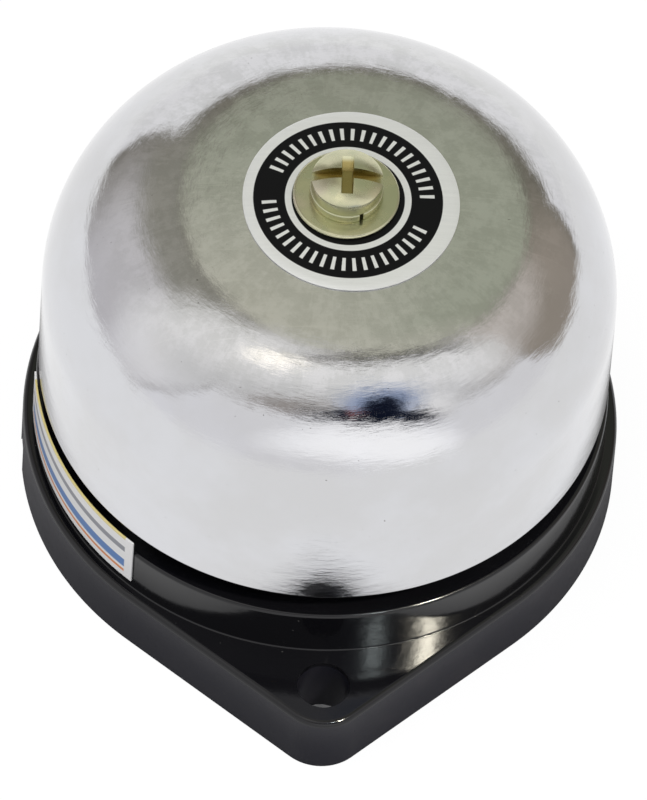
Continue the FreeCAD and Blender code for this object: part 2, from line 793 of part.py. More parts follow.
def make_coil():
    inside = size.yoke_length - 2 * size.yoke_thickness
    length = inside - 2 * size.bobbin_end_clearance
    bore = guide_outside + size.fit_clearance
    core = bore + size.bobbin_wall
    flange_z = axis_height - size.bobbin_side / 2
    flange_x = length / 2 - size.bobbin_flange / 2
    blank = fuse(
        "bobbin_blank",
        cylinder("bobbin_core", core, length, x=coil_back, z=axis_height, along="X"),
        *[block(f"bobbin_flange_{index}", size.bobbin_flange, size.bobbin_side,
                size.bobbin_side, x=pillar_x + flange_x * side, z=flange_z)
          for index, side in enumerate((-1, 1), start=1)],
    )
    pins = []
    pin_holes = []
    for index, side in enumerate((-1, 1), start=1):
        y = size.coil_pin_corner * side
        pins.append(cylinder(f"coil_pin_{index}", size.coil_pin_radius,
                             size.coil_pin_length + size.bobbin_flange,
                             x=coil_back, y=y, z=pin_height, along="X"))
        pin_holes.append(cylinder(f"coil_pin_hole_{index}",
                                  size.coil_pin_radius + size.fit_clearance,
                                  size.bobbin_flange, x=coil_back, y=y, z=pin_height, along="X"))
    bore_hole = cylinder("bobbin_bore", bore, length, x=coil_back, z=axis_height, along="X")
    keep("coil_bobbin", cut("coil_bobbin", blank, bore_hole, *pin_holes))
    keep("coil_pins", group("coil_pins", *pins))

    wound = length - 2 * size.bobbin_flange
    start = coil_back + size.bobbin_flange
    tape_inside = size.winding_radius + size.fit_clearance
    keep("coil_winding", ring("coil_winding", size.winding_radius, core + size.fit_clearance,
                              wound, x=start, z=axis_height, along="X"))
    keep("coil_tape", ring("coil_tape", tape_inside + size.tape_thickness, tape_inside,
                           wound, x=start, z=axis_height, along="X"))
    keep("guide_tube", ring("guide_tube", guide_outside, guide_bore,
                            size.yoke_length + 2 * size.guide_overhang,
                            x=guide_back, z=axis_height, along="X"))
    spigot = guide_bore - size.fit_clearance
    rod_hole = size.push_rod_radius + size.running_clearance
    points = [
        (rod_hole, -size.bush_length),
        (spigot, -size.bush_length),
        (spigot, 0),
        (size.bush_flange_radius, 0),
        (size.bush_flange_radius, size.bush_flange_thickness),
        (rod_hole, size.bush_flange_thickness),
    ]
    keep("front_bush", turned("front_bush", points, x=guide_front, z=axis_height, along="X"))


def make_striker():
    grip = size.push_rod_grip
    rod_fit = size.push_rod_radius + size.fit_clearance
    length = plunger_front - plunger_back
    groove = size.plunger_radius - size.clip_groove_depth
    points = [
        (0, 0),
        (size.plunger_radius, 0),
        (size.plunger_radius, size.plunger_tail),
        (groove, size.plunger_tail),
        (groove, size.plunger_tail + size.clip_thickness),
        (size.plunger_radius, size.plunger_tail + size.clip_thickness),
        (size.plunger_radius, length),
        (rod_fit, length),
        (rod_fit, length - grip),
        (0, length - grip),
    ]
    keep("plunger", turned("plunger", points, x=plunger_back, z=axis_height, along="X"))
    rod_back = plunger_front - grip
    rod_front = striker_back + size.striker_socket
    keep("push_rod", cylinder("push_rod", size.push_rod_radius, rod_front - rod_back,
                              x=rod_back, z=axis_height, along="X"))
    keep("rebound_washer", ring("rebound_washer", size.rebound_washer_radius, rod_fit,
                                size.rebound_washer_thickness,
                                x=washer_back, z=axis_height, along="X"))
    length = striker_end - striker_back
    points = [
        (rod_fit, 0),
        (size.striker_radius, 0),
        (size.striker_radius, length - size.striker_rounding),
        (size.striker_radius - size.striker_rounding, length),
        (0, length),
        (0, size.striker_socket),
        (rod_fit, size.striker_socket),
    ]
    keep("striker_tip", turned("striker_tip", points, {2: (size.striker_rounding, 1)},
                               x=striker_back, z=axis_height, along="X"))
    keep("spring_retainer", ring("spring_retainer", size.retainer_radius,
                                 size.plunger_radius + size.fit_clearance,
                                 size.retainer_thickness,
                                 x=clip_front, z=axis_height, along="X"))
    clip_back = clip_front - size.clip_thickness
    clip = ring("clip_ring", size.clip_radius, groove + size.fit_clearance,
                size.clip_thickness, x=clip_back, z=axis_height, along="X")
    mouth = block("clip_mouth", size.clip_thickness, size.clip_mouth, size.clip_radius,
                  x=clip_back + size.clip_thickness / 2, z=axis_height)
    keep("retaining_clip", cut("retaining_clip", clip, mouth))


def biarc(start, start_way, end, end_way):
    # Two arcs that leave start and reach end along the given unit directions.
    chord = end - start
    both = start_way + end_way
    square = 2 * (1 - start_way.dot(end_way))
    pull = chord.dot(both)
    reach = (math.sqrt(pull ** 2 + square * chord.dot(chord)) - pull) / square
    joint = (start + start_way * reach + end - end_way * reach) / 2
    joint_way = (end - end_way * reach - start - start_way * reach).normalize()
    edges = []
    for a, way, b in ((start, start_way, joint), (joint, joint_way, end)):
        # The arc's middle lies on the side its first direction points to.
        line = b - a
        cosine = way.dot(line) / line.Length
        sine = math.sqrt(1 - cosine ** 2)
        out = (way - line * (cosine / line.Length)) / sine
        bulge = line.Length / 2 * sine / (1 + cosine)
        edges.append(Part.Arc(a, (a + b) / 2 + out * bulge, b).toShape())
    return edges


def make_spring():
    wire = size.spring_wire_radius.value
    radius = size.spring_radius.value
    rise = size.spring_length.value - 2 * (wire + size.fit_clearance.value)
    start_x = retainer_front.value + wire + size.fit_clearance.value
    steps = SPRING_TURNS * PIECES_PER_TURN
    per_radian = rise / (SPRING_TURNS * 2 * math.pi)

    def spot(step):
        angle = 2 * math.pi * step / PIECES_PER_TURN
        return Vector(start_x + per_radian * angle, radius * math.cos(angle),
                      axis_height.value + radius * math.sin(angle))

    def way(step):
        angle = 2 * math.pi * step / PIECES_PER_TURN
        return Vector(per_radian, -radius * math.sin(angle), radius * math.cos(angle)).normalize()

    edges = []
    for step in range(steps):
        edges += biarc(spot(step), way(step), spot(step + 1), way(step + 1))
    path = Part.Wire(edges)
    shell = Part.BRepOffsetAPI.MakePipeShell(path)
    shell.add(Part.Wire(Part.Circle(spot(0), way(0), wire).toShape()))
    shell.build()
    shell.makeSolid()
    keep("return_spring", solid_feature("return_spring", shell.shape()))

    samples = path.discretize(Number=SAMPLES_PER_TURN * SPRING_TURNS + 1)
    gap = min(
        (samples[i] - samples[j]).Length
        for i in range(len(samples))
        for j in range(i + SAMPLES_PER_TURN // 2, len(samples))
    ) - 2 * wire
    print(f"return spring: least gap between turns {gap:.2f} mm")


def make_terminals():
    plate_bottom = cavity_top - size.terminal_thickness
    clamp_bottom = plate_bottom - size.terminal_clamp_thickness
    hole = size.terminal_screw_radius + size.slip_clearance
    clamps = []
    screws = []
    for side, name in ((-1, "left"), (1, "right")):
        x = terminal_x
        y = size.terminal_y * side
        plate = block(f"terminal_blank_{name}", size.terminal_length, size.terminal_width,
                      size.terminal_thickness, x=x, y=y, z=plate_bottom)
        drilled = cut(f"terminal_plate_{name}", plate,
                      cylinder(f"terminal_plate_hole_{name}", hole, size.terminal_thickness,
                               x=x, y=y, z=plate_bottom))
        keep(f"terminal_plate_{name}", drilled)
        clamp = block(f"clamp_blank_{name}", size.terminal_clamp_side,
                      size.terminal_clamp_side, size.terminal_clamp_thickness,
                      x=x, y=y, z=clamp_bottom)
        clamps.append(cut(f"terminal_clamp_{name}", clamp,
                          cylinder(f"clamp_hole_{name}", hole,
                                   size.terminal_clamp_thickness, x=x, y=y, z=clamp_bottom)))
        screws.append(slotted_screw(f"terminal_screw_{name}", size.terminal_screw_radius,
                                    cavity_top + size.terminal_screw_grip - clamp_bottom,
                                    size.terminal_screw_head_radius,
                                    size.terminal_screw_head_height, x, y, clamp_bottom))
    keep("terminal_clamps", group("terminal_clamps", *clamps))
    keep("terminal_screws", group("terminal_screws", *screws))


def tube(name, points, radius, bend):
    # A round wire along straight runs joined by arcs that are tangent to them.
    edges = []
    here = points[0]
    for before, corner, after in zip(points, points[1:], points[2:]):
        back = (before - corner).normalize()
        on = (after - corner).normalize()
        half = math.acos(max(-1, min(1, back.dot(on)))) / 2
        pull = bend / math.tan(half)
        middle = (back + on).normalize() * (bend / math.sin(half) - bend)
        edges.append(Part.LineSegment(here, corner + back * pull).toShape())
        edges.append(Part.Arc(corner + back * pull, corner + middle, corner + on * pull).toShape())
        here = corner + on * pull
    edges.append(Part.LineSegment(here, points[-1]).toShape())
    path = Part.Wire(edges)
    shell = Part.BRepOffsetAPI.MakePipeShell(path)
    circle = Part.Circle(points[0], points[1] - points[0], radius)
    shell.add(Part.Wire(circle.toShape()))
    shell.build()
    shell.makeSolid()
    share = shell.shape().Volume / (math.pi * radius ** 2 * path.Length)
    print(f"{name}: length {path.Length:.1f} mm, volume over section times length {share:.3f}")
    return solid_feature(name, shell.shape())


def make_leads():
    # Each lead runs on from its coil pin, out past the yoke and down through the deck.
    wire = size.lead_radius
    under = cavity_top - size.terminal_thickness - wire - size.fit_clearance
    diode_back = terminal_front - size.diode_leg_lap
    for side, name, x, last in ((-1, "left", left_lead_x, terminal_front - 2 * wire),
                                (1, "right", right_lead_x, diode_front)):
        corner = size.coil_pin_corner * side
        y = size.lead_y * side
        route = [
            (pin_end, corner, pin_height),
            (x, corner, pin_height),
            (x, y, pin_height),
            (x, y, under),
            (last, y, under),
        ]
        spots = [Vector(*(number(amount) for amount in spot)) for spot in route]
        lead = tube(f"lead_wire_{name}", spots, wire.value, size.lead_bend.value)
        keep(f"lead_wire_{name}", lead)

    body_back = diode_x - size.diode_length / 2
    diode = fuse(
        "rectifier_diode",
        cylinder("diode_legs", size.diode_leg_radius, diode_front - diode_back,
                 x=diode_back, y=size.lead_y, z=under, along="X"),
        cylinder("diode_case", size.diode_radius, size.diode_length,
                 x=body_back, y=size.lead_y, z=under, along="X"),
    )
    keep("rectifier_diode", diode)


def check_and_write():
    doc.recompute()
    for item in doc.Objects:
        if "Invalid" in item.State or "Error" in item.State:
            raise RuntimeError(f"{item.Name} failed: {item.State}")
    for name, item in nodes.items():
        shape = item.Shape
        if shape.isNull() or not shape.isValid() or not shape.Solids:
            raise RuntimeError(f"{name} has no valid solid")
    os.makedirs("parts", exist_ok=True)
    for name, item in nodes.items():
        item.Shape.exportStep(f"parts/{name}.step")
    print(f"{len(nodes)} nodes, {sum(len(i.Shape.Solids) for i in nodes.values())} solids")


make_base()
make_cover()
make_gong()
make_gong_fixing()
make_labels()
make_yoke()
make_coil()
make_striker()
make_spring()
make_terminals()
make_leads()
check_and_write()
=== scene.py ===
import json
import math

import bmesh
import bpy
from mathutils import Matrix, Vector

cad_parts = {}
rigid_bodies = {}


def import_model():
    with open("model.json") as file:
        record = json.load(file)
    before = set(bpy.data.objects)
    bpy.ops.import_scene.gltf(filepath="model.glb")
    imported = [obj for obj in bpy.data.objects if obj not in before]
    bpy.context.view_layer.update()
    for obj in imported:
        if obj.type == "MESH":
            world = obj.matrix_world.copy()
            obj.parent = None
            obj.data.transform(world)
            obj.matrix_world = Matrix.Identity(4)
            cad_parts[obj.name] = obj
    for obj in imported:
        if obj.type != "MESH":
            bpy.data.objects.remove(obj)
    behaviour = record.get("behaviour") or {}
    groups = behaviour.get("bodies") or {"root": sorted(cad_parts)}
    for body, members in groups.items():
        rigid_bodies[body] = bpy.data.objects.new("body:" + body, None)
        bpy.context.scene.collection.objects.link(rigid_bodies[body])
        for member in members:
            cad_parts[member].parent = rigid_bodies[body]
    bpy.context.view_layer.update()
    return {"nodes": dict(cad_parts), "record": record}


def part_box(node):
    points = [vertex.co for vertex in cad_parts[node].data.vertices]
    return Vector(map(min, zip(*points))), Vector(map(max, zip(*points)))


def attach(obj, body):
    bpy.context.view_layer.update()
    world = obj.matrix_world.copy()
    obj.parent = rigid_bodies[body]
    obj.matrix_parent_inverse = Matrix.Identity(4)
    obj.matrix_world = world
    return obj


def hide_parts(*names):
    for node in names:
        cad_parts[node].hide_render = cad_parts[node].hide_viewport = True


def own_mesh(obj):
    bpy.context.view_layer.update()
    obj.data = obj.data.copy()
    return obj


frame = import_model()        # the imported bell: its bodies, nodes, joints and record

mm = 0.001
print("frame loaded:", len(frame["nodes"]), "nodes")


# What several pieces go by: the holes in the two ears, and the screw that holds the gong. The
# gong's own axis is at 0, and the screw's is a little off it.

earHoles = next(mount["dims"] for mount in frame["record"]["mounts"]
                if mount["name"] == "ear_holes")
earY = earHoles["spacing_y_mm"] * mm / 2
screwLow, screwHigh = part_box("gong_screw")
pillar = (screwLow + screwHigh) * Vector((0.5, 0.5, 0))


def show(name, data):        # puts a new object into the scene
    item = bpy.data.objects.new(name, data)
    bpy.context.scene.collection.objects.link(item)
    return item


def asObject(name, mesh):
    data = bpy.data.meshes.new(name)
    mesh.to_mesh(data)
    mesh.free()
    return show(name, data)


def wayTo(place):        # from the bell: degrees round from the front ear, and up
    azimuth = math.radians(place["azimuth"])
    elevation = math.radians(place["elevation"])
    flat = math.cos(elevation)
    return Vector((math.sin(azimuth) * flat, -math.cos(azimuth) * flat, math.sin(elevation)))


# Camera

cameraPlace = {
    "azimuth": -4.097,
    "elevation": 55.405,
    "roll": 4.309,
    "distance": 1500 * mm,
    "lens": 700.68,        # millimetres, and so is the sensor
    "sensorWidth": 36,
    "clipStart": 10 * mm,
    "aimHeight": 20 * mm,
    "aimShift": (-0.227 * mm, -6.081 * mm),        # across and up in the picture
}


def placeCamera():
    back = wayTo(cameraPlace)
    facing = back.to_track_quat("Z", "Y")
    facing = facing @ Matrix.Rotation(math.radians(cameraPlace["roll"]), 3, "Z").to_quaternion()
    across, upward = cameraPlace["aimShift"]
    aim = Vector((0, 0, cameraPlace["aimHeight"])) + facing @ Vector((across, upward, 0))
    data = bpy.data.cameras.new("camera")
    data.lens = cameraPlace["lens"]
    data.sensor_width = cameraPlace["sensorWidth"]
    data.clip_start = cameraPlace["clipStart"]
    camera = show("camera", data)
    camera.rotation_mode = "QUATERNION"
    camera.rotation_quaternion = facing
    camera.location = aim + back * cameraPlace["distance"]
    bpy.context.scene.camera = camera


placeCamera()
bpy.context.scene.view_settings.view_transform = "Standard"


# Shader maths

class Value:        # a socket that can stand in a sum
    def __init__(self, look, socket):
        self.look = look
        self.socket = socket

    def maths(self, operation, *terms):
        return self.look.node("Math", {"operation": operation}, dict(enumerate(terms)))

    def __add__(self, other):
        return self.maths("ADD", self, other)

    __radd__ = __add__

    def __sub__(self, other):
        return self.maths("SUBTRACT", self, other)

    def __rsub__(self, other):
        return self.maths("SUBTRACT", other, self)

    def __mul__(self, other):
        return self.maths("MULTIPLY", self, other)

    __rmul__ = __mul__

    def __truediv__(self, other):
        return self.maths("DIVIDE", self, other)

    def __pow__(self, other):
        return self.maths("POWER", self, other)

    def __abs__(self):
        return self.maths("ABSOLUTE", self)


class Look:        # one tree of shader nodes
    def __init__(self, tree):
        self.tree = tree
        tree.nodes.clear()

    def node(self, kind, settings={}, sockets={}, output=0):
        made = self.tree.nodes.new("ShaderNode" + kind)
        for name, setting in settings.items():
            setattr(made, name, setting)
        for name, value in sockets.items():
            self.feed(made.inputs[name], value)
        return Value(self, made.outputs[output]) if made.outputs else None

    def feed(self, socket, value):
        if isinstance(value, Value):
            self.tree.links.new(value.socket, socket)
        elif isinstance(value, tuple) and socket.type == "RGBA":
            socket.default_value = (*value, 1)
        else:
            socket.default_value = value

    def parts(self, vector, letters="xyz"):
        return [self.node("SeparateXYZ", {}, {0: vector}, "xyz".index(letter))
                for letter in letters]

    def vector(self, x, y, z):
        return self.node("CombineXYZ", {}, {0: x, 1: y, 2: z})

    def stretched(self, scale, turn=0.0):        # turn in radians about Z
        sockets = {"Vector": self.place, "Rotation": (0.0, 0.0, turn), "Scale": scale}
        return self.node("Mapping", {}, sockets)

    def noise(self, place, scale, detail=2.0, roughness=0.5):
        sockets = {"Vector": place, "Scale": scale, "Detail": detail, "Roughness": roughness}
        return self.node("TexNoise", {}, sockets)

    def step(self, value, low, high, start=0.0, end=1.0):
        sockets = {0: value, 1: low, 2: high, 3: start, 4: end}
        return self.node("MapRange", {"interpolation_type": "SMOOTHSTEP"}, sockets)

    def between(self, value, low, high, soft):
        return self.step(value, low - soft, low + soft) * self.step(value, high + soft, high - soft)

    def mix(self, share, first, second):
        return self.node("Mix", {"data_type": "RGBA"}, {0: share, 6: first, 7: second}, 2)

    def bump(self, height, depth, normal=None):
        sockets = {"Height": height, "Distance": depth, "Strength": 1.0}
        if normal:
            sockets["Normal"] = normal
        return self.node("Bump", {}, sockets)

    def shader(self, sockets):
        surface = self.node("BsdfPrincipled", {}, sockets)
        self.node("OutputMaterial", {}, {"Surface": surface})


def newLook(name):
    material = bpy.data.materials.new(name)
    material.use_nodes = True
    look = Look(material.node_tree)
    look.material = material
    look.place = look.node("TexCoord", {}, {}, "Object")
    return look


# Surroundings: white walls and floor, open at the top to a dim ceiling. Places in it are
# degrees from straight up, to the right and to the rear.

tent = {
    "wall": (0.93, 0.925, 0.945),
    "dull": (0.21, 0.195, 0.16),
    "ceiling": (0.42, 0.44, 0.35),
    "ceilingFront": (0.60, 0.59, 0.50),
    "shade": (0.15, 0.135, 0.11),
    "leftSheet": (0.66, 0.64, 0.655),
    "bounce": (1.0, 0.99, 0.99),
    "leftFold": (0.33, 0.32, 0.28),
    "frontSheet": (0.78, 0.775, 0.78),
    "rightSheet": (0.38, 0.335, 0.285),
    "rightGlow": (0.66, 0.61, 0.57),
    "flash": (1.7, 1.62, 1.5),
    "flare": (1.35, 1.35, 1.36),
    "line": (0.05, 0.045, 0.035),
    "brown": (0.36, 0.33, 0.31),
    "sky": (0.26, 0.36, 0.60),
    "dark": (0.006, 0.009, 0.022),
    "red": (0.42, 0.16, 0.15),
}
# Round openings that join into one: middle and half widths
openings = [(-58, 16, 46, 54), (8, 4, 64, 56), (20, 28, 45, 37), (60, 18, 36, 32),
            (22, -44, 29, 9)]
ceilingDisc = (15, 27, 31, 34)
# Each is drawn over the last: paint, softness of its edge, middle and half widths, cover
layers = {
    "sheets": [
        ("leftSheet", 0.6, (-65, 2, 38, 58), 1.0),
        ("bounce", 0.8, (-50, -16, 30, 18), 0.9),
        ("leftFold", 0.6, (-25, 29, 13, 30), 1.0),
        ("rightSheet", 0.4, (68, 12, 32, 34), 1.0),
        ("rightGlow", 0.7, (44, -2, 18, 20), 0.9),
        ("frontSheet", 0.35, (2, -30, 56, 27), 1.0),
        ("bounce", 0.7, (14, -17, 42, 10), 1.0),
        ("shade", 0.07, ceilingDisc, 0.85),
    ],
    "ceiling": [
        ("ceilingFront", 0.7, (0, -4, 32, 10), 0.9),
        ("ceilingFront", 0.9, (-11, 12, 15, 16), 1.0),
    ],
    "ceilingEdge": [
        ("bounce", 0.75, (-23, -4, 17, 11), 0.9),
        ("line", 0.7, (13, -7.5, 21, 2.0), 1.0),
    ],
    "glint": [
        ("flash", 0.6, (-13, -11.5, 7, 4), 1.0),
    ],
    "front": [
        ("brown", 0.6, (-20, -45, 20, 6), 1.0),
        ("bounce", 0.7, (37, -42, 11, 6), 1.0),
        ("sky", 0.7, (18, -39, 11, 9), 0.85),
        ("dark", 0.25, (18.5, -43, 7.5, 8.5), 1.0),
        ("dark", 0.15, (15, -49.5, 30, 5.5), 1.0),
        ("red", 0.4, (9, -46, 2.2, 1.6), 1.0),
    ],
    "wall": [
        ("flare", 0.9, (22, -69, 34, 10), 1.0),
    ],
}
# Where one part gives way to the next, in a round's squared distance from its middle or in
# degrees to the rear, and how much of it covers
blends = {
    "joined": 0.08,
    "ceiling": (0.98, 0.82),
    "rear": (38, 62),
    "rearCover": 0.45,
    "wideRim": (0.74, 0.98),
    "wideRimRear": (0, 34),
    "wideRimCover": 0.55,
    "thinRim": (0.90, 0.97),
    "thinRimCover": 0.5,
    "wall": (0.97, 1.03),
}


def makeSurroundings():
    world = bpy.data.worlds.new("studio")
    world.use_nodes = True
    bpy.context.scene.world = world
    look = Look(world.node_tree)
    x, y, z = look.parts(look.node("TexCoord", {}, {}, "Generated"))
    tilt = z.maths("ARCCOSINE", z) * math.degrees(1)
    flat = (x * x + y * y + 1e-9) ** 0.5
    right = tilt * x / flat
    rear = tilt * y / flat

    def spot(middleX, middleY, halfX, halfY):
        return ((right - middleX) / halfX) ** 2 + ((rear - middleY) / halfY) ** 2

    def draw(colour, group):
        for paint, soft, place, share in layers[group]:
            cover = look.step(spot(*place), (1 + soft) ** 2, (1 - soft) ** 2)
            colour = look.mix(cover * share, colour, tent[paint])
        return colour

    inside = None
    for hole in openings:
        size = spot(*hole)
        inside = size if inside is None else look.node(
            "Math", {"operation": "SMOOTH_MIN"}, {0: inside, 1: size, 2: blends["joined"]})
    colour = draw(tent["dull"], "sheets")
    ceiling = draw(tent["ceiling"], "ceiling")
    colour = look.mix(look.step(spot(*ceilingDisc), *blends["ceiling"]), colour, ceiling)
    colour = draw(colour, "ceilingEdge")
    behind = look.step(rear, *blends["rear"]) * blends["rearCover"]
    colour = look.mix(behind, colour, tent["dull"])
    colour = draw(colour, "glint")
    edge = look.step(inside, *blends["wideRim"]) * look.step(rear, *blends["wideRimRear"])
    edge = edge * blends["wideRimCover"]
    thin = look.step(inside, *blends["thinRim"]) * blends["thinRimCover"]
    colour = look.mix(edge.maths("MAXIMUM", edge, thin), colour, tent["shade"])
    colour = draw(colour, "front")
    wall = draw(tent["wall"], "wall")
    colour = look.mix(look.step(inside, *blends["wall"]), colour, wall)
    ray = look.node("LightPath", {}, {}, "Is Camera Ray")
    colour = look.mix(ray, colour, (1.0, 1.0, 1.0))
    shine = look.node("Background", {}, {"Color": colour, "Strength": 1.0})
    look.node("OutputWorld", {}, {"Surface": shine})


# Floor: white, but under the bell, and near it in reflections, it is plain dark shaded paper. This
# is painted shade drawn round the base's outline, with the paper's real shading on it.

floorLook = {
    "half": 3.0,
    "white": (1.0, 1.0, 1.0),
    "bright": 1.19,
    "paper": (0.3, 0.3, 0.31),
    "shadowShare": 0.2,
    "under": (-0.3 * mm, -0.6 * mm),        # outside the base's outline: where white ends and painted shade begins
    "near": (7.5 * mm, 2 * mm),        # the same in reflections: painted shade round the base
}


def makeFloor():
    look = newLook("paleFloor")
    x, y = look.parts(look.place, "xy")
    paper = look.node("BsdfDiffuse", {}, {"Color": floorLook["paper"]})
    sockets = {"Color": floorLook["white"], "Strength": floorLook["bright"]}
    white = look.node("Emission", {}, sockets)
    camera = look.node("LightPath", {}, {}, "Is Camera Ray")
    glossy = look.node("LightPath", {}, {}, "Is Glossy Ray")
    clear = look.node("LightPath", {}, {}, "Is Transmission Ray")
    share = camera.maths("MAXIMUM", camera, glossy.maths("MAXIMUM", glossy, clear))
    # How far the place is outside the base, whose round flange narrows to the two ears
    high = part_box("base_moulding")[1]
    lean = (high.x - (high.y - earY)) / earY
    slope = lean / math.sqrt(1 - lean * lean)
    foot = abs(y) - abs(x) * slope
    foot = foot.maths("MINIMUM", foot.maths("MAXIMUM", foot, 0.0), earY)
    off = (x * x + (abs(y) - foot) ** 2) ** 0.5 - (high.x - foot * lean)
    # Painted shade: under the base, and near it in reflections, the white is taken away and only
    # the dark paper shows
    under = look.step(off, *floorLook["under"])
    under = under.maths("MAXIMUM", under, glossy * look.step(off, *floorLook["near"]))
    share = share * (1 - under) * (1 - floorLook["shadowShare"])
    surface = look.node("MixShader", {}, {0: share, 1: paper, 2: white})
    look.node("OutputMaterial", {}, {"Surface": surface})
    mesh = bmesh.new()
    bmesh.ops.create_grid(mesh, x_segments=1, y_segments=1, size=floorLook["half"])
    floor = asObject("floor", mesh)
    floor.data.materials.append(look.material)


# Lamps: a wide soft one overhead, and two that light only the base. Places as for the camera,
# sizes in metres, brightness against white.

lamps = {
    "skyLamp": {"azimuth": -47, "elevation": 78, "size": 0.9, "bright": 3.4,
                "colour": (1.0, 1.0, 1.0)},
    "rightLamp": {"azimuth": 46.8, "elevation": 55.4, "size": 0.095, "bright": 620,
                  "colour": (1.0, 0.94, 0.78), "only": "baseMoulding"},
    "frontLamp": {"azimuth": 24.5, "elevation": 55.4, "size": 0.07, "bright": 130,
                  "colour": (0.85, 0.95, 0.95), "only": "baseMoulding"},
}
lampAway = 1.2
lampAim = 30 * mm


def makeLamps():
    for name, lamp in lamps.items():
        way = wayTo(lamp)
        light = bpy.data.lights.new(name, "AREA")
        light.shape = "DISK"
        light.size = lamp["size"]
        light.energy = lamp["bright"] * (math.pi * lamp["size"] / 2) ** 2
        light.color = lamp["colour"]
        item = show(name, light)
        item.rotation_mode = "QUATERNION"
        item.rotation_quaternion = way.to_track_quat("Z", "Y")
        item.location = Vector((0, 0, lampAim)) + way * lampAway
        if "only" in lamp:
            lit = bpy.data.collections.new(name + "Lit")
            item.light_linking.receiver_collection = lit
        else:
            item.visible_glossy = False


def aimLamps():        # once the pieces are made
    for name, lamp in lamps.items():
        if "only" in lamp:
            lit = bpy.data.objects[name].light_linking.receiver_collection
            lit.objects.link(bpy.data.objects[lamp["only"]])


makeSurroundings()
makeFloor()
makeLamps()
print("stage made")


# Finishes. A scale is a texture's fineness to a metre, and a depth of its relief is in metres.

chromeLook = {
    "pale": (0.67, 0.675, 0.70),
    "dull": (0.625, 0.625, 0.635),
    "haze": (0.59, 0.595, 0.57),
    "clear": (0.75, 0.75, 0.74),
    "pit": (0.2, 0.19, 0.18),
    "crown": (37.5 * mm, 42.5 * mm),        # heights over which the handled crown sets in
    "grooves": 1.9e-5,        # depths
    "ripple": 3.0e-5,
    "strokes": 0.9e-6,
    "grooveScale": 2700,
    "bandScale": 420,
    "strokeScale": 110,
    "cloudScale": 75.0,
    "mottleScale": 420.0,
    "pitScale": 2600.0,
    "hairScale": (160.0, 3400.0, 60.0),
    "hairTurn": 0.45,
}


def chromePlate():        # plated steel, polished on a lathe and handled
    size = chromeLook
    look = newLook("chromePlate")
    x, y, z = look.parts(look.place)
    out = (x * x + y * y + 1e-9) ** 0.5
    along = z - out        # runs evenly from the rim to the crown

    def rings(around, way, scale, detail):
        return look.noise(look.vector(x / out * around, y / out * around, way * scale), 1.0,
                          detail, 0.7)

    grooves = rings(16, along, size["grooveScale"], 4.0)
    bands = rings(5, along, size["bandScale"], 2.0)
    strokes = rings(46, out, size["strokeScale"], 4.0)
    cloud = look.noise(look.place, size["cloudScale"], 4.0, 0.6)
    mottle = look.noise(look.place, size["mottleScale"], 5.0, 0.7)
    turned = look.stretched(size["hairScale"], size["hairTurn"])
    hairs = look.step(look.noise(turned, 1.0, 2.0, 0.6), 0.62, 0.72)
    pits = look.step(look.noise(look.place, size["pitScale"], 1.0), 0.79, 0.83)

    crown = look.step(z, *size["crown"])
    colour = look.mix(look.step(cloud, 0.35, 0.7), size["dull"], size["pale"])
    worn = look.step(mottle * 0.8 + strokes * 0.2, 0.41, 0.59)
    worn = look.mix(worn, size["haze"], size["clear"])
    colour = look.mix(crown * 0.6, colour, worn)
    colour = look.mix(crown * hairs * 0.35, colour, size["clear"])
    colour = look.mix(pits * 0.7, colour, size["pit"])
    rough = 0.045 + 0.04 * look.step(cloud, 0.3, 0.75) + crown * (0.01 + strokes * 0.06)
    turning = grooves * (0.35 + 0.65 * look.step(bands, 0.35, 0.65))
    fine = look.bump(turning, size["grooves"])
    fine = look.bump(crown * (strokes + hairs * 0.5), size["strokes"], fine)
    normal = look.bump(cloud + crown * mottle * 0.15, size["ripple"], fine)
    look.shader({"Base Color": colour, "Metallic": 1.0, "Roughness": rough, "Normal": normal})
    return look.material


mouldingLook = {
    "gloss": (0.003, 0.003, 0.004),
    "satin": (0.007, 0.007, 0.013),
    "worn": (0.014, 0.013, 0.018),
    "dust": (0.2, 0.2, 0.2),
    "sides": (6.9 * mm, 6.4 * mm),        # heights: glossy above, satin below
    "waves": 2.5e-5,        # depths
    "grain": 1.8e-6,
    "cloudScale": 240.0,
    "grainScale": 3600.0,
    "dustScale": 2300.0,
    "scratchScale": (150.0, 4200.0, 900.0),
    "scratchTurn": 0.6,
}


def blackMoulding():        # glossy thermoset, satin on the sides, lightly scuffed
    size = mouldingLook
    look = newLook("blackMoulding")
    z, = look.parts(look.place, "z")
    side = look.step(z, *size["sides"])
    cloud = look.noise(look.place, size["cloudScale"], 4.0, 0.6)
    grain = look.noise(look.place, size["grainScale"], 2.0)
    turned = look.stretched(size["scratchScale"], size["scratchTurn"])
    scratches = look.step(look.noise(turned, 1.0, 2.0, 0.6), 0.66, 0.76)
    dust = look.step(look.noise(look.place, size["dustScale"], 1.0), 0.80, 0.84)
    worn = look.step(cloud, 0.45, 0.75)
    colour = look.mix(side * 0.8, size["gloss"], size["satin"])
    colour = look.mix(worn * side * 0.6, colour, size["worn"])
    colour = look.mix(dust * 0.2, colour, size["dust"])
    rough = 0.12 + side * 0.20 + worn * 0.06 + scratches * 0.12
    height = grain * (0.35 + side * 0.9) + scratches * 0.6
    normal = look.bump(cloud, size["waves"], look.bump(height, size["grain"]))
    look.shader({"Base Color": colour, "Roughness": rough, "IOR": 1.45, "Normal": normal})
    return look.material


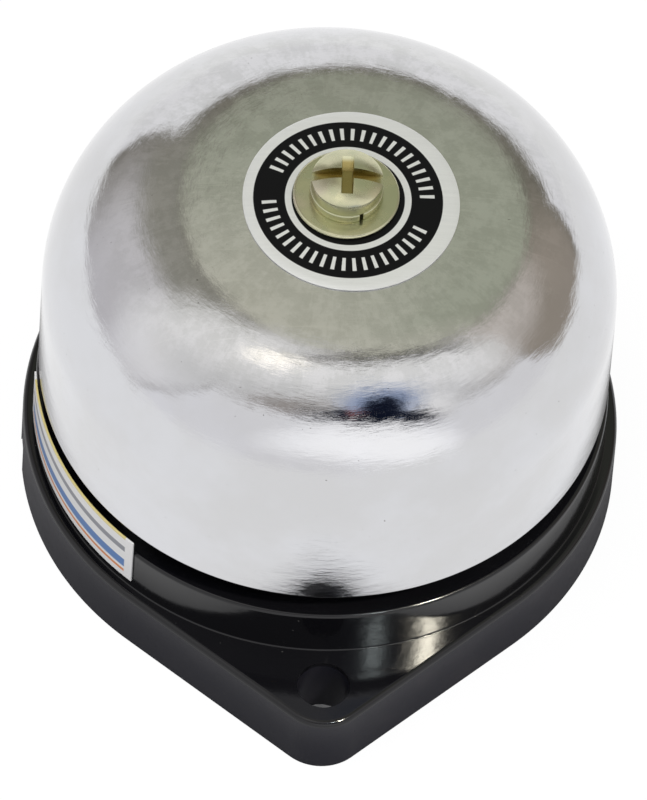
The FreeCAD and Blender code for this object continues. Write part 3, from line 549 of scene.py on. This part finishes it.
zincLook = {
    "straw": (0.64, 0.62, 0.42),
    "green": (0.56, 0.57, 0.38),
    "pink": (0.72, 0.60, 0.54),
    # painted shade for the screw head's cross recess
    "recess": (0.32, 0.24, 0.06),
    "grain": 3.0e-6,        # depth
    "cloudScale": 420.0,
    "driftScale": 170.0,
    "grainScale": 6000.0,
    "dome": 6.4 * mm,        # radius of the rounding that the depth is measured from
    "recessDepth": (0.10 * mm, 0.7 * mm),
    "recessHeight": (45.55 * mm, 45.7 * mm),
    "recessReach": (3.3 * mm, 3.1 * mm),        # from the screw's axis
}


def yellowZinc():        # pale passivated plate with its green and pink tints, and painted shade in the screw head's cross recess
    size = zincLook
    look = newLook("yellowZinc")
    cloud = look.noise(look.place, size["cloudScale"], 3.0, 0.6)
    drift = look.noise(look.place, size["driftScale"], 2.0)
    grain = look.noise(look.place, size["grainScale"], 2.0)
    colour = look.mix(look.step(cloud, 0.35, 0.65), size["straw"], size["green"])
    colour = look.mix(look.step(drift, 0.55, 0.75) * 0.6, colour, size["pink"])
    x, y, z = look.parts(look.place)
    # Painted shade: the surface is darkened where it lies deep under the screw head's dome, in its
    # cross recess
    out = (x - pillar.x) ** 2 + (y - pillar.y) ** 2        # squared
    deep = screwHigh.z - out / (2 * size["dome"]) - z
    recess = look.step(deep, *size["recessDepth"]) * look.step(z, *size["recessHeight"])
    recess = recess * look.step(out, *(reach ** 2 for reach in size["recessReach"]))
    colour = look.mix(recess * 0.85, colour, size["recess"])
    rough = 0.20 + 0.12 * look.step(cloud, 0.3, 0.7)
    normal = look.bump(grain + cloud * 0.6, size["grain"])
    look.shader({"Base Color": colour, "Metallic": 1.0, "Roughness": rough, "Normal": normal})
    return look.material


ringPrint = {
    "centre": (1.10 * mm, -0.55 * mm),
    "outer": 9.05 * mm,
    "inner": 6.03 * mm,
    "hole": 5.40 * mm,
    "markLow": 6.85 * mm,
    "markHigh": 8.25 * mm,
    "marks": 48,
    "markEdge": (0.20, 0.15),        # share of the way from one mark to the next
    "gapMiddle": -11.0,        # degrees: the bare stretches lie left and right
    "gapHalf": 13.0,
    "gapSoft": 0.02,
    "soft": 0.03 * mm,
    "ink": (0.003, 0.003, 0.004),
    "foilDull": (0.66, 0.67, 0.66),
    "foilPale": (0.76, 0.77, 0.75),
    "cloudScale": 300.0,
    "brushScale": (200.0, 5000.0, 200.0),
    "brushTurn": -0.5,
    "grain": 2.0e-6,        # depth
}


def ringFoil():        # satin foil with a black printed ring and plain dial marks
    size = ringPrint
    look = newLook("ringFoil")
    middle = (*(-part for part in size["centre"]), 0.0)
    place = look.node("Mapping", {}, {"Vector": look.place, "Location": middle})
    x, y = look.parts(place, "xy")
    out = (x * x + y * y) ** 0.5
    soft = size["soft"]
    turn = x.maths("ARCTAN2", y, x) * (size["marks"] / math.tau)
    across = abs(turn.maths("FRACT", turn) - 0.5)
    mark = look.step(across, *size["markEdge"])
    mark = mark * look.between(out, size["markLow"], size["markHigh"], soft)
    lean = math.radians(size["gapMiddle"])
    side = abs(y * math.cos(lean) - x * math.sin(lean)) / out
    gap = math.sin(math.radians(size["gapHalf"]))
    mark = mark * look.step(side, gap - size["gapSoft"], gap + size["gapSoft"])
    printed = look.between(out, size["inner"], size["outer"], soft) * (1 - mark)
    centre = look.step(out, size["hole"] + soft, size["hole"] - soft)
    printed = printed.maths("MAXIMUM", printed, centre)
    brushed = look.noise(look.stretched(size["brushScale"], size["brushTurn"]), 1.0, 2.0, 0.6)
    cloud = look.noise(look.place, size["cloudScale"], 3.0)
    foil = look.mix(brushed, size["foilDull"], size["foilPale"])
    colour = look.mix(printed, foil, size["ink"])
    rough = 0.36 + 0.08 * cloud - printed * 0.05
    normal = look.bump(brushed + cloud * 0.5, size["grain"])
    look.shader({"Base Color": colour, "Metallic": 0.35 - printed * 0.35, "Roughness": rough,
                 "IOR": 1.25, "Normal": normal})
    return look.material


filmPrint = {
    "left": 184.0,        # degrees round from +X, where the coloured bands start and stop
    "right": 226.6,
    "softEnds": 0.1,
    "soft": 0.05 * mm,
    "bands": (        # lower and upper edge, colour
        (9.2 * mm, 9.6 * mm, (0.72, 0.24, 0.06)),
        (10.0 * mm, 11.2 * mm, (0.05, 0.17, 0.45)),
        (12.5 * mm, 13.3 * mm, (0.22, 0.23, 0.26)),
        (14.5 * mm, 15.0 * mm, (0.72, 0.62, 0.25)),
    ),
    "dull": (0.80, 0.80, 0.80),
    "pale": (0.86, 0.86, 0.85),
    "cloudScale": 500.0,
    "fibreScale": 4500.0,
    "fibre": 1.5e-6,        # depth
}


def labelFilm():        # white film with plain colour bands and a thin rule
    size = filmPrint
    look = newLook("labelFilm")
    x, y, z = look.parts(look.place)
    turn = x.maths("ARCTAN2", y, x) * math.degrees(1)
    turn = turn + 360 * look.step(turn, 0.01, -0.01)
    length = look.between(turn, size["left"], size["right"], size["softEnds"])
    cloud = look.noise(look.place, size["cloudScale"], 3.0)
    fibre = look.noise(look.place, size["fibreScale"], 2.0)
    colour = look.mix(cloud, size["dull"], size["pale"])
    for low, high, ink in size["bands"]:
        colour = look.mix(look.between(z, low, high, size["soft"]) * length, colour, ink)
    rough = 0.32 + 0.08 * cloud
    normal = look.bump(fibre, size["fibre"])
    look.shader({"Base Color": colour, "Roughness": rough, "Normal": normal,
                 "Coat Weight": 0.3, "Coat Roughness": 0.15})
    return look.material


metalGrain = {
    "along": (300.0, 300.0, 5000.0),
    "cloudScale": 380.0,
    "spotScale": 1900.0,
    "depth": 2.5e-6,
}


def metal(name, pale, dull, rough, grainScale=metalGrain["along"]):
    # Plated, drawn or turned metal: grain along the piece, dull patches, a few scuffs
    look = newLook(name)
    grain = look.noise(look.stretched(grainScale), 1.0, 3.0, 0.6)
    cloud = look.noise(look.place, metalGrain["cloudScale"], 4.0, 0.6)
    spots = look.step(look.noise(look.place, metalGrain["spotScale"], 1.0), 0.68, 0.76)
    colour = look.mix(look.step(cloud, 0.35, 0.7), pale, dull)
    colour = look.mix(spots * 0.5, colour, tuple(part * 0.4 for part in dull))
    roughness = rough + 0.14 * look.step(cloud, 0.3, 0.7) + 0.08 * grain
    normal = look.bump(grain + spots * 0.4, metalGrain["depth"])
    look.shader({"Base Color": colour, "Metallic": 1.0, "Roughness": roughness,
                 "Normal": normal})
    return look.material


stuffGrain = {
    "grainScale": 2600.0,
    "cloudScale": 260.0,
    "speckScale": 1700.0,
    "depth": 3.0e-6,
}


def mouldedStuff(name, colour, shade, rough):
    # Plastic, fibre or rubber: fine texture, faint clouding and specks
    look = newLook(name)
    grain = look.noise(look.place, stuffGrain["grainScale"], 3.0, 0.6)
    cloud = look.noise(look.place, stuffGrain["cloudScale"], 4.0, 0.6)
    specks = look.step(look.noise(look.place, stuffGrain["speckScale"], 1.0), 0.70, 0.76)
    blend = look.mix(look.step(cloud, 0.35, 0.7), colour, shade)
    blend = look.mix(specks * 0.35, blend, tuple(part * 0.5 for part in shade))
    roughness = rough + 0.12 * cloud + 0.06 * grain
    normal = look.bump(grain, stuffGrain["depth"])
    look.shader({"Base Color": blend, "Roughness": roughness, "Normal": normal})
    return look.material


finishes = {
    "gong_chrome": chromePlate(),
    "black_moulding": blackMoulding(),
    "yellow_zinc": yellowZinc(),
    "label_foil": ringFoil(),
    "label_film": labelFilm(),
    "zinc_steel": metal("zincSteel", (0.66, 0.67, 0.69), (0.52, 0.53, 0.55), 0.24),
    "yoke_steel": metal("yokeSteel", (0.55, 0.56, 0.58), (0.42, 0.43, 0.44), 0.32),
    "spring_steel": metal("springSteel", (0.46, 0.46, 0.48), (0.33, 0.33, 0.35), 0.28),
    "brass": metal("turnedBrass", (0.80, 0.60, 0.28), (0.62, 0.44, 0.18), 0.22),
    "tinned_copper": metal("tinnedPins", (0.74, 0.73, 0.70), (0.58, 0.57, 0.55), 0.3),
    "copper_wire": metal("enamelledCopper", (0.62, 0.24, 0.10), (0.45, 0.15, 0.06), 0.26,
                         (9000.0, 300.0, 300.0)),
    "cover_board": mouldedStuff("coverBoard", (0.035, 0.031, 0.027), (0.055, 0.048, 0.040), 0.5),
    "red_fibre": mouldedStuff("redFibre", (0.34, 0.07, 0.045), (0.24, 0.045, 0.03), 0.6),
    "nylon": mouldedStuff("naturalNylon", (0.78, 0.76, 0.68), (0.70, 0.67, 0.58), 0.4),
    "rubber": mouldedStuff("blackRubber", (0.018, 0.018, 0.018), (0.032, 0.031, 0.030), 0.7),
    "coil_tape": mouldedStuff("coilTape", (0.72, 0.48, 0.07), (0.60, 0.38, 0.05), 0.25),
    "lead_insulation": mouldedStuff("leadSleeve", (0.45, 0.025, 0.02), (0.33, 0.02, 0.015), 0.35),
    "diode_case": mouldedStuff("diodeCase", (0.012, 0.012, 0.013), (0.025, 0.025, 0.026), 0.4),
}
for node in frame["nodes"].values():
    for slot in node.material_slots:
        slot.material = finishes[slot.material.name]
print("finishes made:", len(finishes))


# Tools for making pieces

touching = 1e-5        # metres: closer than this counts as at the same place
past = 1 * mm        # how far a cutting tool runs past the face that it cuts


class Pen:        # draws a profile by drawing out or turning its last point, then spins it
    def __init__(self, x, z):
        self.mesh = bmesh.new()
        self.first = self.tip = self.mesh.verts.new((x, 0, z))

    def line(self, x, z):
        self.tip = bmesh.ops.extrude_vert_indiv(self.mesh, verts=[self.tip])["verts"][0]
        self.tip.co = (x, 0, z)
        return self

    def arc(self, x, z, degrees, steps):
        made = bmesh.ops.spin(self.mesh, geom=[self.tip], cent=(x, 0, z), axis=(0, 1, 0),
                              angle=math.radians(degrees), steps=steps)
        self.tip = next(part for part in made["geom_last"]
                        if isinstance(part, bmesh.types.BMVert))
        return self

    def close(self):
        self.mesh.edges.new((self.tip, self.first))
        return self

    def spin(self, steps=128, start=0.0, degrees=360.0):
        parts = self.mesh.verts[:] + self.mesh.edges[:]
        bmesh.ops.rotate(self.mesh, verts=self.mesh.verts, cent=(0, 0, 0),
                         matrix=Matrix.Rotation(math.radians(start), 3, "Z"))
        bmesh.ops.spin(self.mesh, geom=parts, cent=(0, 0, 0), axis=(0, 0, 1),
                       angle=math.radians(degrees), steps=steps, use_merge=degrees == 360)
        return self.mesh


def tidy(mesh):
    bmesh.ops.remove_doubles(mesh, verts=mesh.verts, dist=1e-6)
    bmesh.ops.recalc_face_normals(mesh, faces=mesh.faces)


def openEdges(mesh):
    return [edge for edge in mesh.edges if edge.is_boundary]


def closeEnds(mesh):
    bmesh.ops.holes_fill(mesh, edges=openEdges(mesh), sides=0)
    tidy(mesh)


def ringAt(z, radius=None):
    # A test for the edges at one height and, where it is given, one distance from the axis
    def test(edge):
        return all(abs(vert.co.z - z) < touching
                   and (radius is None or abs(vert.co.xy.length - radius) < touching)
                   for vert in edge.verts)
    return test


def soften(mesh, width, segments=2, limit=50.0, where=None):
    # Rounds the sharp edges, or only those of them that pass the test
    sharp = [edge for edge in mesh.edges
             if len(edge.link_faces) == 2 and edge.calc_face_angle() > math.radians(limit)
             and (where is None or where(edge))]
    bmesh.ops.bevel(mesh, geom=sharp, offset=width, segments=segments, profile=0.5,
                    affect="EDGES", material=-1, clamp_overlap=True)


def drum(radius, low, high, y=0.0, steps=128):
    mesh = bmesh.new()
    bmesh.ops.create_cone(mesh, cap_ends=True, segments=steps, radius1=radius, radius2=radius,
                          depth=high - low, matrix=Matrix.Translation((0, y, (low + high) / 2)))
    return mesh


def slab(length, width, low, high, x=0.0, y=0.0, turn=0.0, taper=(1.0, 1.0)):
    # A block; taper draws its lower face in
    mesh = bmesh.new()
    bmesh.ops.create_cube(mesh, size=1.0)
    lower = [vert for vert in mesh.verts if vert.co.z < 0]
    bmesh.ops.scale(mesh, vec=(*taper, 1.0), verts=lower)
    bmesh.ops.scale(mesh, vec=(length, width, high - low), verts=mesh.verts)
    bmesh.ops.rotate(mesh, cent=(0, 0, 0), verts=mesh.verts,
                     matrix=Matrix.Rotation(math.radians(turn), 3, "Z"))
    bmesh.ops.translate(mesh, vec=(x, y, (low + high) / 2), verts=mesh.verts)
    return mesh


def carve(mesh, tools, operation="DIFFERENCE"):
    # Cuts the tools out of a mesh, or joins them to it
    body = asObject("blank", mesh)
    helpers = [asObject("tool", tool) for tool in tools]
    for helper in helpers:
        change = body.modifiers.new("carve", "BOOLEAN")
        change.object = helper
        change.operation = operation
        change.solver = "EXACT"
    bpy.context.view_layer.update()
    shown = body.evaluated_get(bpy.context.evaluated_depsgraph_get())
    result = bmesh.new()
    result.from_mesh(shown.to_mesh())
    shown.to_mesh_clear()
    for item in (body, *helpers):
        data = item.data
        bpy.data.objects.remove(item)
        bpy.data.meshes.remove(data)
    return result


def finishPiece(name, mesh, slot, *nodes, sharp=32.0):
    mesh.normal_update()
    piece = asObject(name, mesh)
    piece.data.materials.append(finishes[slot])
    piece.data.shade_smooth()
    piece.data.set_sharp_from_angle(angle=math.radians(sharp))
    even = piece.modifiers.new("even", "WEIGHTED_NORMAL")
    even.keep_sharp = True
    even.weight = 100
    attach(piece, "bell")
    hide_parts(*nodes)
    print("made", name, len(piece.data.polygons), "faces")
    return piece


def finishOnPillar(name, mesh, slot, node, sharp=32.0):
    bmesh.ops.translate(mesh, vec=pillar, verts=mesh.verts)
    finishPiece(name, mesh, slot, node, sharp=sharp)


# Gong

gongSizes = {
    "wall": 1.8 * mm,
    "shoulder": 15.2 * mm,        # outer radii of the two curves, and of the flat seat
    "crown": 110 * mm,
    "seat": 6.2 * mm,
    "rim": 0.5 * mm,
    "hole": 2.2 * mm,
    "turns": 288,
    "shoulderSteps": 48,
    "crownSteps": 14,
    "innerShoulderSteps": 26,
    "innerCrownSteps": 10,
    "rimSteps": 6,
}


def crownCentre(top):        # height of the centre of the crown's curve
    return top - math.sqrt(gongSizes["crown"] ** 2 - gongSizes["seat"] ** 2)


def makeGong():
    size = gongSizes
    low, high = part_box("gong")
    radius = (high.x - low.x) / 2
    wall, seat, rim = size["wall"], size["seat"], size["rim"]
    crownLow = crownCentre(high.z)
    middle = radius - size["shoulder"]
    lean = math.asin(middle / (size["crown"] - size["shoulder"]))
    shoulderZ = crownLow + (size["crown"] - size["shoulder"]) * math.cos(lean)
    rise = 90 - math.degrees(lean)

    def crownTurn(crown):
        return math.degrees(lean - math.asin(seat / crown))

    innerCrown = size["crown"] - wall
    pen = Pen(seat, crownLow + math.sqrt(innerCrown ** 2 - seat ** 2))
    pen.arc(0, crownLow, crownTurn(innerCrown), size["innerCrownSteps"])
    pen.arc(middle, shoulderZ, rise, size["innerShoulderSteps"])
    pen.line(radius - wall, low.z + rim)
    pen.arc(radius - wall + rim, low.z + rim, -90, size["rimSteps"])
    pen.line(radius - rim, low.z)
    pen.arc(radius - rim, low.z + rim, -90, size["rimSteps"])
    pen.line(radius, shoulderZ)
    pen.arc(middle, shoulderZ, -rise, size["shoulderSteps"])
    pen.arc(0, crownLow, -crownTurn(size["crown"]), size["crownSteps"])
    mesh = pen.spin(steps=size["turns"])
    tidy(mesh)
    # The hole in the flat seat is round the screw's axis
    made = bmesh.ops.extrude_edge_only(mesh, edges=openEdges(mesh))["geom"]
    inner = [part for part in made if isinstance(part, bmesh.types.BMVert)]
    share = size["hole"] / seat
    bmesh.ops.scale(mesh, vec=(share, share, 1), verts=inner)
    bmesh.ops.translate(mesh, vec=pillar, verts=inner)
    bmesh.ops.bridge_loops(mesh, edges=openEdges(mesh))
    tidy(mesh)
    finishPiece("gongShell", mesh, "gong_chrome", "gong")


makeGong()


# Moulded base

mouldingSizes = {
    "flangeTop": 7.2 * mm,
    "flangeRounding": 0.6 * mm,
    "drum": 27.7 * mm,        # a radius, like cavity, coverSeat and boss
    "drumRounding": 0.35 * mm,
    "drumFoot": 0.15 * mm,
    "drumWall": 2.4 * mm,
    "deckTop": 10.9 * mm,
    "deckBottom": 8.5 * mm,
    "cavity": 23.5 * mm,
    "coverSeat": 25.3 * mm,
    "coverTop": 1.8 * mm,
    "boss": 2.7 * mm,
    "bossY": 19.0 * mm,
    "bossInDeck": 0.5 * mm,
    "notch": (9 * mm, 3.6 * mm, 3.6 * mm),        # through the wall, wide, high
    "notchPlace": (-26.5 * mm, -0.6 * mm),
    "softEdge": 0.14 * mm,
    "flangeSteps": 224,
    "earSteps": 72,
    "drumSteps": 256,
    "cavitySteps": 192,
    "bossSteps": 48,
}


def flangeBlank(radius, ear):
    # The ears' sides are tangent to the round flange, so it is the hull of three discs
    size = mouldingSizes
    mesh = bmesh.new()
    for y, reach, steps in ((0, radius, size["flangeSteps"]), (earY, ear, size["earSteps"]),
                            (-earY, ear, size["earSteps"])):
        for z in (0, size["flangeTop"]):
            bmesh.ops.create_circle(mesh, segments=steps, radius=reach,
                                    matrix=Matrix.Translation((0, y, z)))
    for edge in mesh.edges[:]:
        mesh.edges.remove(edge)
    hull = bmesh.ops.convex_hull(mesh, input=mesh.verts)
    spare = {part for part in hull["geom_interior"] + hull["geom_unused"]
             if isinstance(part, bmesh.types.BMVert)}
    bmesh.ops.delete(mesh, geom=list(spare), context="VERTS")
    loose = [edge for edge in mesh.edges if not edge.link_faces]
    bmesh.ops.delete(mesh, geom=loose, context="EDGES")
    bmesh.ops.dissolve_limit(mesh, angle_limit=math.radians(0.3), verts=mesh.verts,
                             edges=mesh.edges)
    return mesh


def makeMoulding():
    size = mouldingSizes
    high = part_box("base_moulding")[1]
    hole = earHoles["hole_r_mm"] * mm
    top = size["flangeTop"]
    mesh = flangeBlank(high.x, high.y - earY)
    soften(mesh, size["flangeRounding"], 5, where=ringAt(top))
    crown = drum(size["drum"], top / 2, high.z, steps=size["drumSteps"])
    soften(crown, size["drumRounding"], 4, where=ringAt(high.z))
    mesh = carve(mesh, [crown], "UNION")
    soften(mesh, size["drumFoot"], 3, where=ringAt(top, size["drum"]))
    recess = size["drum"] - size["drumWall"]
    length, width, height = size["notch"]
    notchX, notchY = size["notchPlace"]
    tools = [drum(reach, low, upper, steps=size["cavitySteps"]) for reach, low, upper in (
        (recess, size["deckTop"], high.z + past),
        (size["cavity"], -past, size["deckBottom"]),
        (size["coverSeat"], -past, size["coverTop"]))]
    tools += [drum(hole, -past, top + past, y=y, steps=size["earSteps"]) for y in (-earY, earY)]
    tools += [slab(length, width, -past, height, x=notchX, y=notchY)]
    mesh = carve(mesh, tools)
    bosses = [drum(size["boss"], size["coverTop"], size["deckBottom"] + size["bossInDeck"],
                   y=size["bossY"] * side, steps=size["bossSteps"]) for side in (-1, 1)]
    mesh = carve(mesh, bosses, "UNION")
    bmesh.ops.dissolve_limit(mesh, angle_limit=math.radians(0.2), verts=mesh.verts,
                             edges=mesh.edges)
    soften(mesh, size["softEdge"], 2, limit=60)
    tidy(mesh)
    finishPiece("baseMoulding", mesh, "black_moulding", "base_moulding")


makeMoulding()


# Screw and washers on the gong

screwSizes = {
    "shank": 2.0 * mm,
    "headSide": 1.45 * mm,
    "slot": (1.2 * mm, 1.2 * mm),        # width, depth
    "slotTaper": (1.0, 0.85),        # shares of its size in X and Y that its floor keeps
    "cross": (5.2 * mm, 1.2 * mm, 1.6 * mm),        # length, width, depth
    "crossTaper": (0.8, 0.5),
    "turn": -2.0,        # degrees
    "softEdge": 0.13 * mm,
    "domeSteps": 14,
    "turns": 96,
}


def makeScrew():
    size = screwSizes
    low, high = screwLow, screwHigh
    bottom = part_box("lock_washer")[1].z
    radius = (high.x - low.x) / 2
    rise = high.z - bottom - size["headSide"]
    dome = (radius ** 2 + rise ** 2) / (2 * rise)
    sweep = math.degrees(math.asin(radius / dome))
    pen = Pen(0, low.z)
    pen.line(size["shank"], low.z)
    pen.line(size["shank"], bottom)
    pen.line(radius, bottom)
    pen.line(radius, bottom + size["headSide"])
    pen.arc(0, high.z - dome, -sweep, size["domeSteps"])
    mesh = pen.spin(steps=size["turns"])
    tidy(mesh)
    width, depth = size["slot"]
    long, wide, deep = size["cross"]
    over = high.z + 0.2 * mm
    tools = [
        slab(3 * radius, width, high.z - depth, over, turn=size["turn"], taper=size["slotTaper"]),
        slab(wide, long, high.z - deep, over, turn=size["turn"], taper=size["crossTaper"]),
    ]
    mesh = carve(mesh, tools)
    soften(mesh, size["softEdge"], 3, limit=38)
    finishOnPillar("gongScrew", mesh, "yellow_zinc", "gong_screw", sharp=40)


def ringPen(inner, outer, low, high):
    pen = Pen(inner, low)
    pen.line(outer, low)
    pen.line(outer, high)
    pen.line(inner, high)
    return pen.close()


washerSizes = {
    "hole": 2.2 * mm,
    "flatEdge": 0.27 * mm,
    "lockEdge": 0.12 * mm,
    "split": 0.35 * mm,
    "splitTurn": -66.0,        # degrees round from +X
    "lockSteps": 90,
}


def makeWashers():
    size = washerSizes
    low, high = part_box("flat_washer")
    mesh = ringPen(size["hole"], (high.x - low.x) / 2, low.z, high.z).spin()
    tidy(mesh)
    soften(mesh, size["flatEdge"], 4)
    finishOnPillar("flatWasher", mesh, "yellow_zinc", "flat_washer")

    low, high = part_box("lock_washer")
    outer = (high.y - low.y) / 2
    gap = math.degrees(size["split"] / outer)
    mesh = ringPen(size["hole"], outer, low.z, high.z).spin(
        steps=size["lockSteps"], start=size["splitTurn"] + gap / 2, degrees=360 - gap)
    closeEnds(mesh)
    soften(mesh, size["lockEdge"], 3)
    finishOnPillar("lockWasher", mesh, "yellow_zinc", "lock_washer")


makeScrew()
makeWashers()


# Labels

labelSizes = {
    "hole": 4.0 * mm,
    "lift": 0.02 * mm,
    "foil": 0.17 * mm,
    "ringSteps": 160,
    "ringCuts": 8,
    "film": 0.2 * mm,
    "filmLift": 0.04 * mm,
    "filmStart": 182.0,        # degrees round from +X
    "filmSweep": 46.6,
    "filmSteps": 64,
    "softEdge": 0.05 * mm,
}


def makeRingLabel():
    size = labelSizes
    low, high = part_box("ring_label")
    middle = (low + high) / 2
    outer = (high.x - low.x) / 2
    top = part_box("gong")[1].z
    crownLow = crownCentre(top)
    mesh = bmesh.new()
    rounds = (((middle.x, middle.y, 0), outer), ((*ringPrint["centre"], 0), size["hole"]))
    for centre, radius in rounds:
        bmesh.ops.create_circle(mesh, segments=size["ringSteps"], radius=radius,
                                matrix=Matrix.Translation(centre))
    radial = bmesh.ops.bridge_loops(mesh, edges=mesh.edges[:])["edges"]
    bmesh.ops.subdivide_edges(mesh, edges=radial, cuts=size["ringCuts"])
    for vert in mesh.verts:
        over = crownLow + math.sqrt(gongSizes["crown"] ** 2 - vert.co.xy.length_squared)
        vert.co.z = min(over, top) + size["lift"]
    bmesh.ops.recalc_face_normals(mesh, faces=mesh.faces)
    if sum(face.normal.z for face in mesh.faces) < 0:
        bmesh.ops.reverse_faces(mesh, faces=mesh.faces)
    bmesh.ops.solidify(mesh, geom=mesh.faces[:], thickness=-size["foil"])
    bmesh.ops.recalc_face_normals(mesh, faces=mesh.faces)
    soften(mesh, size["softEdge"], 2)
    finishPiece("ringLabel", mesh, "label_foil", "ring_label")


def makeSideLabel():
    size = labelSizes
    low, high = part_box("side_label")
    inner = mouldingSizes["drum"] + size["filmLift"]
    mesh = ringPen(inner, inner + size["film"], low.z, high.z).spin(
        steps=size["filmSteps"], start=size["filmStart"], degrees=size["filmSweep"])
    closeEnds(mesh)
    soften(mesh, size["softEdge"], 2)
    finishPiece("sideLabel", mesh, "label_film", "side_label")


makeRingLabel()
makeSideLabel()


# Return spring, a coil of wire along its part's box; on the real bell it shortens towards its fixed
# end as the striker goes out

springSizes = {
    "turns": 4,
    "wireRadius": 0.3 * mm,
    "wireSteps": 20,
    "stepsPerTurn": 60,
}


def makeSpring():
    low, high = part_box("return_spring")
    middle = (low + high) / 2
    wire = springSizes["wireRadius"]
    steps = springSizes["turns"] * springSizes["stepsPerTurn"]
    mesh = bmesh.new()
    start = Matrix.Translation((low.x + wire, high.y - wire, middle.z))
    bmesh.ops.create_circle(mesh, segments=springSizes["wireSteps"], radius=wire, matrix=start)
    bmesh.ops.spin(mesh, geom=mesh.verts[:] + mesh.edges[:], cent=(0, middle.y, middle.z),
                   axis=(1, 0, 0), dvec=((high.x - low.x - 2 * wire) / steps, 0, 0),
                   angle=math.tau * springSizes["turns"], steps=steps)
    closeEnds(mesh)
    spring = finishPiece("returnSpring", mesh, "spring_steel", "return_spring", sharp=50)
    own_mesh(spring)


makeSpring()
aimLamps()
